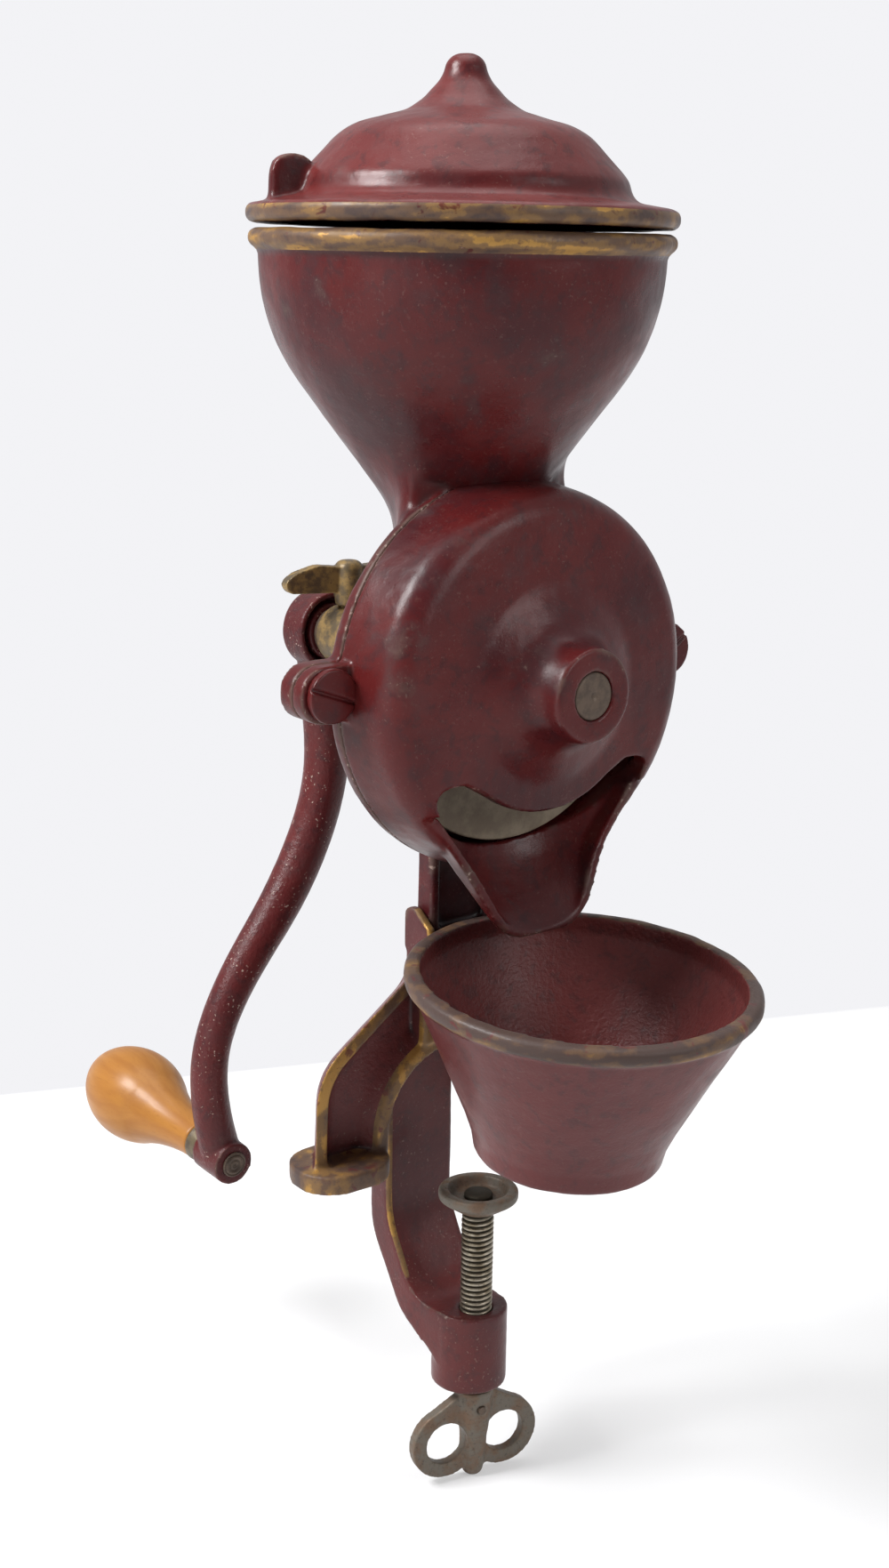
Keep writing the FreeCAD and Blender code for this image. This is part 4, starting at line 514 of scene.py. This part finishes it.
def steel():
    """Turned steel with brown stains."""
    bare, stained, dark = (0.105, 0.074, 0.054), (0.07, 0.05, 0.038), (0.045, 0.032, 0.026)
    paint = Painter("steel")
    stain = paint.noise(3.5, 4, 0.6)
    fine = paint.noise(0.6, 3, 0.6)
    colour = paint.mix(paint.step(stain, 0.4, 0.65), bare, stained)
    colour = paint.mix(paint.step(fine, 0.6, 0.75, 0.0, 0.5), colour, dark)
    relief = paint.bump(fine, 0.05)
    return paint.finish(colour, paint.step(stain, 0.3, 0.7, 0.4, 0.55), relief, 0.3, 0.3)


def thread_steel():
    """Steel of the clamp screw: bright crests over dirty thread grooves."""
    bright, dull = (0.36, 0.32, 0.25), (0.2, 0.165, 0.11)
    groove, dirt = (0.05, 0.042, 0.03), (0.07, 0.055, 0.04)
    paint = Painter("thread_steel")
    crest = paint.attribute("crest")
    stain = paint.noise(4.0, 4, 0.6)
    fine = paint.noise(0.7, 3, 0.6)
    bare = paint.mix(paint.step(stain, 0.4, 0.65), bright, dull)
    colour = paint.mix(paint.step(crest, 0.25, 0.85), groove, bare)
    colour = paint.mix(paint.step(fine, 0.58, 0.72, 0.0, 0.6), colour, dirt)
    rough = paint.step(crest, 0.2, 0.9, 0.62, 0.3)
    return paint.finish(colour, rough, paint.bump(fine, 0.05), 0.75)


def ferrule_metal():
    """Brass coloured collar, dulled."""
    brass, stained = (0.12, 0.09, 0.05), (0.07, 0.05, 0.034)
    paint = Painter("ferrule_metal")
    stain = paint.noise(3.0, 4, 0.6)
    colour = paint.mix(paint.step(stain, 0.4, 0.65), brass, stained)
    relief = paint.bump(paint.noise(0.6, 2, 0.5), 0.03)
    return paint.finish(colour, paint.step(stain, 0.3, 0.7, 0.36, 0.5), relief, 0.35)


def varnished_wood():
    """Varnished beech, with grain along the handle."""
    light, dark = (0.345, 0.145, 0.028), (0.295, 0.115, 0.02)
    # pores, and a dull brown for painted shade in the grip's hollows
    pore, hollow_shade_brown = (0.2, 0.072, 0.014), (0.15, 0.065, 0.025)
    paint = Painter("varnished_wood")
    grain = paint.stretched((1.0, 0.09, 1.0), (math.radians(-HANDLE_TILT), 0.0, 0.0))
    rings = paint.noise(3.2, 4, twist=0.4, place=grain)
    pores = paint.noise(0.45, 3, place=grain)
    colour = paint.mix(paint.step(rings, 0.35, 0.72), light, dark)
    colour = paint.mix(paint.step(pores, 0.58, 0.75, 0.0, 0.4), colour, pore)
    # Painted shade: the grip is darker where its surface is hollow.
    hollow_shade = paint.step(paint.attribute("curve"), 0.0, -0.25, 0.0, 0.6)
    colour = paint.mix(hollow_shade, colour, hollow_shade_brown)
    relief = paint.bump(pores, 0.015)
    rough = paint.step(rings, 0.3, 0.7, 0.34, 0.42)
    material = paint.finish(colour, rough, relief, specular=0.25)
    paint.shader.inputs["Coat Weight"].default_value = 0.08
    paint.shader.inputs["Coat Roughness"].default_value = 0.16
    return material


PAINT = painted_iron()
GOLD = gold_metal()
IRON = dark_iron()
BURR = burr_iron()
STEEL = steel()
THREAD = thread_steel()
FERRULE = ferrule_metal()
WOOD = varnished_wood()


def weather(obj, rounds, cast=0.1, **rules):
    """Gives a soft copy its uneven cast skin and keeps what its finish needs to know.

    A rule is a number or a function of the surface: where gold paint is and how rich, how much
    the enamel shows fading and painted light, how dusty and chipped it is, and how sandy the casting
    is.
    """
    surface = Surface(obj.data)
    shift = cast * undulation(surface.points, 17, 3)
    shift += cast * 0.3 * undulation(surface.points, 5, 5)
    surface.move(shift)
    surface = Surface(obj.data)
    surface.store("curve", surface.convexity(rounds))
    for name in ("gold", "rich", "fade", "dust", "chip", "sand"):
        rule = rules.get(name, 0.0)
        values = rule(surface) if callable(rule) else np.full(len(surface.points), rule)
        surface.store(name, values)


def hopper_distance(points):
    """Distance from the hopper's upright axis."""
    return np.hypot(points[:, 0], points[:, 1] - HOPPER_SETBACK)


def streaks(places, seed):
    """Long marks of rubbed paint between about -1 and 1, for places squeezed along the band."""
    return undulation(places, 4.5, seed) * 0.7 + undulation(places, 1.8, seed + 1) * 0.5


def ring_streaks(offset, level, radius, seed):
    """Such marks round a rim."""
    angle = np.arctan2(offset[:, 1], offset[:, 0])
    squeezed = radius / 4
    return streaks(
        np.column_stack([squeezed * np.cos(angle), squeezed * np.sin(angle), level]), seed
    )


def throat_wall():
    """Wall behind the throat, from the rear boss up to the bowl."""
    steps = 40
    first_angle, whole_angle = -10, 200
    low, high = THROAT_HEIGHTS
    outer = THROAT_RADIUS + THROAT_WALL
    section = [(THROAT_RADIUS, low), (outer, low), (outer, high), (THROAT_RADIUS, high)]
    vertices = []
    faces = []
    for step in range(steps + 1):
        angle = math.radians(first_angle + whole_angle * step / steps)
        for radius, height in section:
            place = Vector((radius * math.cos(angle), radius * math.sin(angle), height))
            vertices.append((place + Vector((0, HOPPER_SETBACK + THROAT_SETBACK, 0))) * MM)
    for first in range(0, 4 * steps, 4):
        for side in range(4):
            following = (side + 1) % 4
            faces.append((first + side, first + 4 + side, first + 4 + following, first + following))
    faces.append((0, 1, 2, 3))
    faces.append(tuple(4 * steps + side for side in (3, 2, 1, 0)))
    mesh = bpy.data.meshes.new("throat_wall")
    mesh.from_pydata(vertices, [], faces)
    return mesh


def hopper_casting():
    """Hopper, neck, casing and stem."""

    def neck(points):
        """The neck, and in front only what stands above the cover."""
        height = points[:, 2] - SHAFT_HEIGHT
        share = smooth_step(height, *NECK_FOOT) * soft_fall(height, *NECK_TOP)
        behind = smooth_step(points[:, 1], HOPPER_SETBACK - 16, HOPPER_SETBACK - 10)
        return share * np.maximum(behind, smooth_step(height, *NECK_CLEAR))

    def outside(surface):
        """The neck's outer skin, without the throat and the bowl's inside."""
        outwards = surface.normals[:, :2] * (surface.points[:, :2] - (0, HOPPER_SETBACK))
        return neck(surface.points) * (outwards.sum(1) > 0)

    def bead(surface):
        height = np.abs(surface.points[:, 2] - RIM_HEIGHT)
        outer = smooth_step(hopper_distance(surface.points), BEAD_RADIUS - 3.6, BEAD_RADIUS - 2.4)
        return outer * soft_fall(height, BEAD_HALF + 0.2, BEAD_HALF + 0.9)

    def rich(surface):
        offset = surface.points - (0, HOPPER_SETBACK, RIM_HEIGHT)
        return ring_streaks(offset, offset[:, 2], BEAD_RADIUS, 21) * 0.8 + 0.15

    obj = soft_copy("hopper_casting", "hopper_body", 0.88, 3, throat_wall())
    surface = Surface(obj.data)
    surface.melt(outside(surface), 190)
    weather(obj, 14, gold=bead, rich=rich, chip=0.1)
    attach(obj, "frame", ["hopper_body"], PAINT)


def lid_casting():
    """Domed lid with its knob, flange and thumb tab."""
    swing = next(joint for joint in frame["joints"] if joint["name"] == "lid_swing")
    pivot = np.array(swing["pos_m"]) / MM
    axis = np.array(swing["axis"])

    def level(surface):
        """Height above the lid's pivot, square to the lid."""
        return (surface.points - pivot) @ axis

    def flange(surface):
        outer = smooth_step(hopper_distance(surface.points), LID_RADIUS - 3, LID_RADIUS - 2)
        return outer * soft_fall(level(surface), LID_FLANGE - 0.9, LID_FLANGE - 0.2)

    def rich(surface):
        offset = surface.points - (0, HOPPER_SETBACK, 0)
        marks = ring_streaks(offset, level(surface), LID_RADIUS, 31) * 0.8 - 0.2
        return marks + 0.5 * smooth_step(level(surface), LID_FLANGE - 1.8, LID_FLANGE - 1)

    def faded(surface):
        # Painted top light: the lid is lighter on its upward faces.
        up = smooth_step(surface.normals[:, 2], -0.1, 0.8)
        return up * (0.75 + 0.25 * undulation(surface.points, 30, 8))

    def shape_dome(surface):
        """Rounds the step off and flares the knob's foot."""
        height = level(surface)
        across = surface.points - pivot - height[:, None] * axis
        middle = np.array([0.0, HOPPER_SETBACK, RIM_HEIGHT]) - pivot
        middle -= (middle @ axis) * axis
        reach = np.linalg.norm(across - middle, axis=1)
        outer = surface.normals @ axis > -0.3
        low, high = LID_STEP
        step = smooth_step(height, low, low + 2) * soft_fall(height, high - 2, high)
        surface.melt(step * smooth_step(reach, LID_RADIUS - 18, LID_RADIUS - 16) * outer, 16)
        foot = smooth_step(height, KNOB_FOOT - 7, KNOB_FOOT)
        foot *= soft_fall(height, KNOB_FOOT, KNOB_FOOT + 8)
        surface.move(KNOB_FLARE * foot * soft_fall(reach, 10, 17) * outer)

    obj = soft_copy("lid_casting", "lid", 0.62, 3)
    shape_dome(Surface(obj.data))
    weather(obj, 12, gold=flange, rich=rich, fade=faded, chip=0.12)
    attach(obj, "lid", ["lid"], PAINT)


def cover_casting():
    """Front cover with its boss, mouth and spout."""

    def faded(surface):
        # Fading and painted light on the faces turned to the front.
        front = smooth_step(-surface.normals[:, 1], 0.2, 0.9)
        return 0.2 * front * (1 + undulation(surface.points, 25, 9))

    obj = soft_copy("cover_casting", "front_cover", 0.66, 4)
    weather(obj, 12, fade=faded, chip=0.1)
    attach(obj, "frame", ["front_cover"], PAINT)


def crank_casting():
    """Crank arm with its hub and end boss."""
    obj = soft_copy("crank_casting", "crank_arm", 0.5, 3)
    weather(obj, 10, cast=0.08, fade=0.35, chip=0.85, sand=0.7)
    attach(obj, "crank", ["crank_arm"], PAINT)


def frame_casting():
    """Clamp frame with gutter-shaped legs and gold along its raised edges."""
    leg_plane = HOPPER_SETBACK - LEG_FRONT
    web_plane = HOPPER_SETBACK - LEG_WEB_FRONT
    joint_height = RIM_HEIGHT - JOINT_DROP

    def legs(points):
        """The legs beside the head, down to the feet."""
        share = smooth_step(np.abs(points[:, 0]), HEAD_HALF, HEAD_HALF + 3)
        share *= soft_fall(points[:, 2], joint_height - 2, joint_height + 2)
        return share * smooth_step(points[:, 2], FOOT_THICKNESS + 0.5, FOOT_THICKNESS + 3)

    def gutter(surface):
        """The hollow's inside and the legs' rear edges."""
        points, normals = surface.points, surface.normals
        inside = smooth_step(points[:, 1], leg_plane + 0.5, leg_plane + 1.6)
        inside *= smooth_step(-normals[:, 1], 0.1, 0.35) * (points[:, 1] < web_plane + 1)
        behind = smooth_step(points[:, 1], web_plane, web_plane + 1)
        behind *= soft_fall(points[:, 1], HOPPER_SETBACK + 3, HOPPER_SETBACK + 6)
        return legs(points) * np.maximum(inside, behind)

    def trim(surface):
        """The front rims, the feet, a line down the spine and the head's cheeks."""
        points, normals = surface.points, surface.normals
        side = np.abs(points[:, 0])
        height = points[:, 2]
        rims = soft_fall(points[:, 1], leg_plane + 0.9, leg_plane + 1.8)
        rims *= np.maximum(legs(points), soft_fall(height, joint_height - 20, joint_height - 14))
        rims *= smooth_step(height, 0.0, 0.5) * smooth_step(-normals[:, 1], -0.2, 0.1)
        foot = soft_fall(height, FOOT_THICKNESS - 0.5, FOOT_THICKNESS + 1.2)
        foot *= smooth_step(height, -1.0, -0.2) * smooth_step(side, 22, 26)
        line = soft_fall(np.abs(points[:, 0] + SPINE_HALF - 1.0), 0.7, 1.3)
        line *= smooth_step(-normals[:, 1], 0.2, 0.5) * soft_fall(height, 5, 30)
        line *= smooth_step(height, -46, -40)
        cheek = smooth_step(height, joint_height - 4, joint_height)
        cheek *= smooth_step(-normals[:, 1], -0.1, 0.5) * smooth_step(side, 10, 12)
        return np.maximum.reduce([rims, foot, line, cheek])

    def rich(surface):
        points = surface.points
        marks = streaks(points * (0.4, 0.6, 0.3), 41)
        foot = soft_fall(points[:, 2], FOOT_THICKNESS, FOOT_THICKNESS + 3)
        foot *= smooth_step(points[:, 2], -1, 0)
        return marks * 0.8 + 0.35 - 0.45 * foot

    def faded(surface):
        """The legs most, and a little of the rest: fading, and painted light on the legs."""
        return 0.25 + 0.6 * legs(surface.points)

    def sandy(surface):
        return 0.25 + 0.6 * gutter(surface)

    obj = soft_copy("frame_casting", "clamp_frame", 0.66, 6)
    surface = Surface(obj.data)
    surface.melt(gutter(surface), 60)
    weather(obj, 12, gold=trim, rich=rich, fade=faded, dust=0.12, chip=0.25, sand=sandy)
    attach(obj, "frame", ["clamp_frame"], PAINT)


def cup_casting():
    """Receiving cup, gold on its rolled rim."""
    tilt = math.radians(CUP_TILT)
    centre = np.array([0, HOPPER_SETBACK - CUP_FORWARD, RIM_HEIGHT - CUP_RIM_DROP])
    axis = np.array([0, -math.sin(tilt), math.cos(tilt)])

    def spread(surface):
        """Places from the rim's centre, how far they are along the axis, and the rest."""
        offset = surface.points - centre
        level = offset @ axis
        return offset, level, offset - level[:, None] * axis

    def outwards(surface):
        """1 outside the cup, 0 inside it."""
        _, _, radial = spread(surface)
        return smooth_step((radial * surface.normals).sum(1), -4, 4)

    def faded(surface):
        # Painted light: the cup is lighter inside than outside.
        return 1.0 - 0.5 * outwards(surface)

    def dusty(surface):
        return 0.12 - 0.02 * outwards(surface)

    def sandy(surface):
        return 1.0 - 0.8 * outwards(surface)

    def rim(surface):
        _, level, radial = spread(surface)
        radius = np.linalg.norm(radial, axis=1)
        return smooth_step(level, -3.6, -2.4) * smooth_step(radius, CUP_RADIUS - 5, CUP_RADIUS - 3.4)

    def rich(surface):
        offset, level, _ = spread(surface)
        low_edge = smooth_step(-level, 0.6, 1.8)
        return ring_streaks(offset, level, CUP_RADIUS, 51) * 0.9 - 0.65 + 0.6 * low_edge

    obj = soft_copy("cup_casting", "cup", 0.66, 3)
    weather(obj, 12, gold=rim, rich=rich, fade=faded, dust=dusty, chip=0.06, sand=sandy)
    attach(obj, "cup", ["cup"], PAINT)


def small_pieces():
    """Small pieces of iron, steel, brass and wood with rounded corners."""
    rows = (
        ("key_casting", "clamp_key", 0.4, 5, "screw", "dark_iron", IRON),
        ("pad_casting", "clamp_pad", 0.32, 4, "pad", "dark_iron", IRON),
        ("wing_screw_casting", "wing_screw", 0.32, 4, "wing", "gold_paint", GOLD),
        ("adjusting_nut_casting", "adjusting_nut", 0.4, 2, "adjuster", "gold_paint", GOLD),
        ("cover_screw_heads", "cover_screws", 0.3, 9, "frame", "painted_iron", PAINT),
        ("stem_screw_worn", "stem_screw", 0.3, 2, "frame", "dark_iron", IRON),
        ("lid_rivet_worn", "lid_rivet", 0.25, 3, "frame", "dark_iron", IRON),
        ("crank_nut_worn", "crank_nut", 0.28, 2, "crank", "steel", STEEL),
        ("grip_turned", "wooden_grip", 0.6, 4, "grip", "varnished_wood", WOOD),
        ("ferrule_turned", "grip_ferrule", 0.22, 3, "grip", "ferrule_metal", FERRULE),
    )
    for name, node, voxel, rounds, body, slot, material in rows:
        obj = soft_copy(name, node, voxel, rounds)
        weather(obj, 8, cast=0.03)
        attach(obj, body, [node], material)


def centre_marked(tip, radius, back):
    """Start of a bar's outline: a centre mark and a softly rounded end."""
    return [
        (tip + 1.0, 0.0),
        (tip + 0.1, 1.0),
        (tip, 1.4),
        (tip, radius - 0.8),
        (tip + 0.2, radius - 0.3),
        (tip + 0.7, radius),
        (back, radius),
    ]


def spindle_turned():
    """Spindle with a centre mark in its front end."""
    low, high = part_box("spindle")
    front = low.y / MM - HOPPER_SETBACK
    back = high.y / MM - HOPPER_SETBACK
    collar_front, collar_back = SPINDLE_COLLAR
    seat_front, seat_back = CRANK_SEAT
    outline = centre_marked(front, SPINDLE_RADIUS, collar_front)
    outline += [(collar_front, COLLAR_RADIUS), (collar_back, COLLAR_RADIUS)]
    outline += [(collar_back, REAR_JOURNAL_RADIUS), (seat_front, REAR_JOURNAL_RADIUS)]
    outline += [(seat_front, CRANK_SEAT_RADIUS), (seat_back, CRANK_SEAT_RADIUS)]
    outline += [(seat_back, SPINDLE_THREAD_RADIUS), (back - END_ROUNDING, SPINDLE_THREAD_RADIUS)]
    outline += [(back, SPINDLE_THREAD_RADIUS - END_ROUNDING), (back, 0.0)]
    obj = lathe("spindle_turned", outline, (0, HOPPER_SETBACK, SHAFT_HEIGHT))
    attach(obj, "crank", ["spindle"], STEEL)


def stud_turned():
    """Handle stud with the ring marks of its riveted end."""
    front = -CRANK_HALF_DEPTH - 0.8
    outline = [(front + 0.5, 0.0), (front + 0.1, 0.9), (front + 0.1, 1.3), (front + 0.45, 1.7)]
    outline += [(front + 0.1, 2.1), (front, 2.6), (front + 0.15, 3.1), (front + 0.5, 3.3)]
    outline += [(front + 0.1, 3.6), (front + 0.35, 4.0), (front + 0.8, 4.1)]
    head_start, head_end = STUD_HEAD
    outline += [(front + 0.8, STUD_RADIUS), (head_start, STUD_RADIUS)]
    outline += [(head_start, STUD_HEAD_RADIUS), (head_end - 0.5, STUD_HEAD_RADIUS)]
    outline += [(head_end, STUD_HEAD_RADIUS - END_ROUNDING), (head_end, 0.0)]
    place = (-CRANK_SIDE, HOPPER_SETBACK + CRANK_PLANE, SHAFT_HEIGHT - CRANK_DROP)
    obj = lathe("stud_turned", outline, place, tilt=HANDLE_TILT)
    attach(obj, "crank", ["handle_stud"], STEEL)


def screw_rings():
    """Rings of the clamp screw from its top down: height, radius and share of thread."""
    top = -PAD_GAP
    neck_end = top - 2.7
    bulge = PAD_SPIGOT + 1.1
    start = top - PAD_HEIGHT
    end = -KEY_TOP
    tip = end - KEY_SPIGOT_LENGTH
    rings = [(top - 1.2, 0.0, 0.0), (top - 1.2, PAD_SPIGOT + 0.6, 0.0), (top - 1.8, bulge, 0.0)]
    rings += [(neck_end, bulge, 0.0), (neck_end, PAD_SPIGOT, 0.0), (start, PAD_SPIGOT, 0.0)]
    rings_per_turn = 11
    count = int((start - end) / (SCREW_PITCH / rings_per_turn))
    for index in range(count + 1):
        height = start + (end - start) * index / count
        ease = min(1.0, (start - height) / THREAD_RUNOUT, (height - end) / THREAD_RUNOUT)
        rings.append((height, SCREW_RADIUS - THREAD_DEPTH, max(0.0, ease)))
    rings += [(end, KEY_SPIGOT_RADIUS, 0.0), (tip, KEY_SPIGOT_RADIUS, 0.0), (tip, 0.0, 0.0)]
    return rings


def thread_lift(height, turn):
    """How far the thread rises at a height and a share of a turn: 0 in a groove, 1 on a crest."""
    phase = (height / SCREW_PITCH - turn) % 1.0
    lift = min(1.0, max(0.0, 1.35 - 2.7 * abs(phase - 0.5)))
    return lift * lift * (3 - 2 * lift)


def threaded_screw():
    """Clamp screw with its real thread."""
    segments = 72
    rings = screw_rings()
    vertices = []
    crests = []
    for height, radius, ease in rings:
        for step in range(segments):
            angle = 2 * math.pi * step / segments
            lift = thread_lift(height, step / segments) * ease
            reach = radius + THREAD_DEPTH * lift
            vertices.append(
                (reach * math.cos(angle) * MM, reach * math.sin(angle) * MM, height * MM)
            )
            crests.append(lift)
    faces = []
    for row in range(len(rings) - 1):
        above = row * segments
        below = above + segments
        for step in range(segments):
            following = (step + 1) % segments
            faces.append((above + step, below + step, below + following, above + following))
    mesh = bpy.data.meshes.new("screw_threaded")
    mesh.from_pydata(vertices, [], faces)
    attribute = mesh.attributes.new("crest", "FLOAT", "POINT")
    attribute.data.foreach_set("value", np.array(crests, np.float32))
    obj = new_object("screw_threaded", mesh)
    weld(obj, 0.0005)
    settle_modifiers(obj)
    attach(obj, "screw", ["clamp_screw"], THREAD)


def bevelled_nodes():
    """CAD nodes whose shape stays, with broken corners and a finish."""
    rows = (
        ("feed_worm", 0.3, IRON),
        ("turning_burr", 0.3, BURR),
        ("fixed_burr", 0.2, BURR),
        ("burr_screws", 0.2, STEEL),
        ("burr_drive_pin", 0.3, STEEL),
        ("thrust_washer", 0.2, STEEL),
        ("crank_washer", 0.2, STEEL),
        ("key_pin", 0.3, STEEL),
    )
    for node, width, material in rows:
        obj = frame["nodes"][node]
        obj.data.materials.clear()
        obj.data.materials.append(material)
        weld(obj, 0.002)
        bevel = obj.modifiers.new("bevel", "BEVEL")
        bevel.width = width * MM
        bevel.segments = 2
        bevel.limit_method = "ANGLE"
        bevel.angle_limit = math.radians(35)


hopper_casting()
lid_casting()
cover_casting()
crank_casting()
frame_casting()
cup_casting()
small_pieces()
spindle_turned()
stud_turned()
threaded_screw()
bevelled_nodes()


def camera():
    """Camera at the photograph's viewing angle, and what the rest of the studio needs of it."""
    pan = 0.6792
    dip = 0.2458
    roll = 0.0179
    focal_pixels = 2418.2
    image_width = 1000
    image_height = 1763
    sensor = 36.0
    # The camera's place from the middle of the hopper's rim, in millimetres
    aside, in_depth, above = -374.74, -460.55, -1.06
    place = Vector((aside, in_depth + HOPPER_SETBACK, above + RIM_HEIGHT)) * MM
    ahead = Vector(
        (math.sin(pan) * math.cos(dip), math.cos(pan) * math.cos(dip), -math.sin(dip))
    )
    right = Vector((math.cos(pan), -math.sin(pan), 0))
    down = ahead.cross(right)
    turned_right = right * math.cos(roll) - down * math.sin(roll)
    turned_down = right * math.sin(roll) + down * math.cos(roll)
    data = bpy.data.cameras.new("camera")
    data.sensor_width = sensor
    data.lens = sensor * focal_pixels / image_height
    data.clip_start = 0.02
    data.clip_end = 50
    obj = new_object("camera", data)
    axes = Matrix((turned_right, -turned_down, -ahead)).transposed().to_4x4()
    obj.matrix_world = Matrix.Translation(place) @ axes
    bpy.context.scene.camera = obj

    def on_floor(column, row):
        """Floor point seen at a pixel of the photograph."""
        across = (column - image_width / 2) / focal_pixels
        below = (row - image_height / 2) / focal_pixels
        ray = ahead + turned_right * across + turned_down * below
        return place + ray * ((FLOOR_HEIGHT * MM - place.z) / ray.z)

    level = Vector((ahead.x, ahead.y, 0)).normalized()
    return {"level": level, "right": right, "on_floor": on_floor}


def area_light(name, place, target, size, power):
    """Square soft light that faces the target."""
    data = bpy.data.lights.new(name, "AREA")
    data.shape = "SQUARE"
    data.size = size
    data.energy = power
    obj = new_object(name, data)
    obj.location = place
    obj.rotation_mode = "QUATERNION"
    obj.rotation_quaternion = (target - place).to_track_quat("-Z", "Y")


def lights(view):
    """Large soft lights above, to both sides of the camera and low on the left."""
    middle = Vector((0, 0, 0.1))
    level = view["level"]
    left = -view["right"]
    up = Vector((0, 0, 1))
    area_light("key_light", middle + left * 0.75 + up * 0.75 - level * 0.25, middle, 0.4, 17.0)
    area_light("top_light", middle + up * 1.15 + level * 0.1, middle, 0.9, 7.0)
    area_light("low_light", middle + left * 0.7 - up * 0.02 - level * 0.75, middle, 0.7, 2.2)
    area_light("side_light", middle - left * 0.8 + up * 0.45 - level * 0.55, middle, 0.5, 3.5)


def seen_share(nodes):
    """1 for rays from the camera, mirrors and glass, else 0."""
    path = nodes.add("ShaderNodeLightPath")
    total = path.outputs["Is Camera Ray"]
    for name in ("Is Glossy Ray", "Is Transmission Ray"):
        total = nodes.maths("MAXIMUM", total, path.outputs[name])
    return total


def along(nodes, output, direction):
    """How far a place or direction reaches along a fixed one."""
    source = nodes.add("ShaderNodeTexCoord")
    node = nodes.add("ShaderNodeVectorMath", operation="DOT_PRODUCT")
    nodes.feed(node.inputs[0], source.outputs[output])
    nodes.feed(node.inputs[1], direction)
    return node.outputs["Value"]


def world(view):
    """Even light that is weaker from the dark room in front, and a pale background."""
    made = bpy.data.worlds.new("studio")
    bpy.context.scene.world = made
    nodes = NodeTree(made)
    room = nodes.step(along(nodes, "Generated", -view["level"]), 0.0, 0.85, 1.0, 0.3)
    is_camera = nodes.add("ShaderNodeLightPath").outputs["Is Camera Ray"]
    mirrored = nodes.maths("MULTIPLY", room, 0.62)
    seen = nodes.add("ShaderNodeBackground")
    nodes.feed(seen.inputs["Color"], PALE_WALL)
    nodes.feed(seen.inputs["Strength"], nodes.maths("MAXIMUM", mirrored, is_camera))
    lit = nodes.add("ShaderNodeBackground")
    nodes.feed(lit.inputs["Strength"], nodes.maths("MULTIPLY", room, 0.58))
    mixed = nodes.mix_shaders(seen_share(nodes), lit.outputs[0], seen.outputs[0])
    nodes.feed(nodes.add("ShaderNodeOutputWorld").inputs[0], mixed)


def studio_floor(view):
    """Pale table under the clamp's key that meets a pale wall in a straight line."""
    half = 4.0
    mesh = bpy.data.meshes.new("studio_floor")
    corners = [(-half, -half), (half, -half), (half, half), (-half, half)]
    mesh.from_pydata([(x, y, FLOOR_HEIGHT * MM) for x, y in corners], [], [(0, 1, 2, 3)])
    obj = new_object("studio_floor", mesh)
    left_end = view["on_floor"](*TABLE_LINE[0])
    right_end = view["on_floor"](*TABLE_LINE[1])
    side = (right_end - left_end).normalized()
    beyond = Vector((-side.y, side.x, 0))
    material = bpy.data.materials.new("pale_floor")
    nodes = NodeTree(material)
    place = nodes.maths("SUBTRACT", along(nodes, "Object", beyond), beyond.dot(left_end))
    near = nodes.step(place, -0.004, 0.0, 1.0, 0.0)
    diffuse = nodes.add("ShaderNodeBsdfDiffuse")
    nodes.feed(diffuse.inputs["Color"], (0.82, 0.82, 0.83, 1))
    glow = nodes.add("ShaderNodeEmission")
    nodes.feed(glow.inputs["Color"], nodes.mix(near, PALE_WALL, (0.98, 0.98, 0.985, 1)))
    own_glow = nodes.step(place, -0.004, 0.0, 0.4, 1.0)
    share = nodes.maths("MULTIPLY", seen_share(nodes), own_glow)
    mixed = nodes.mix_shaders(share, diffuse.outputs[0], glow.outputs[0])
    nodes.feed(nodes.add("ShaderNodeOutputMaterial").inputs[0], mixed)
    mesh.materials.append(material)


bpy.context.scene.view_settings.view_transform = "Standard"
view = camera()
lights(view)
world(view)
studio_floor(view)
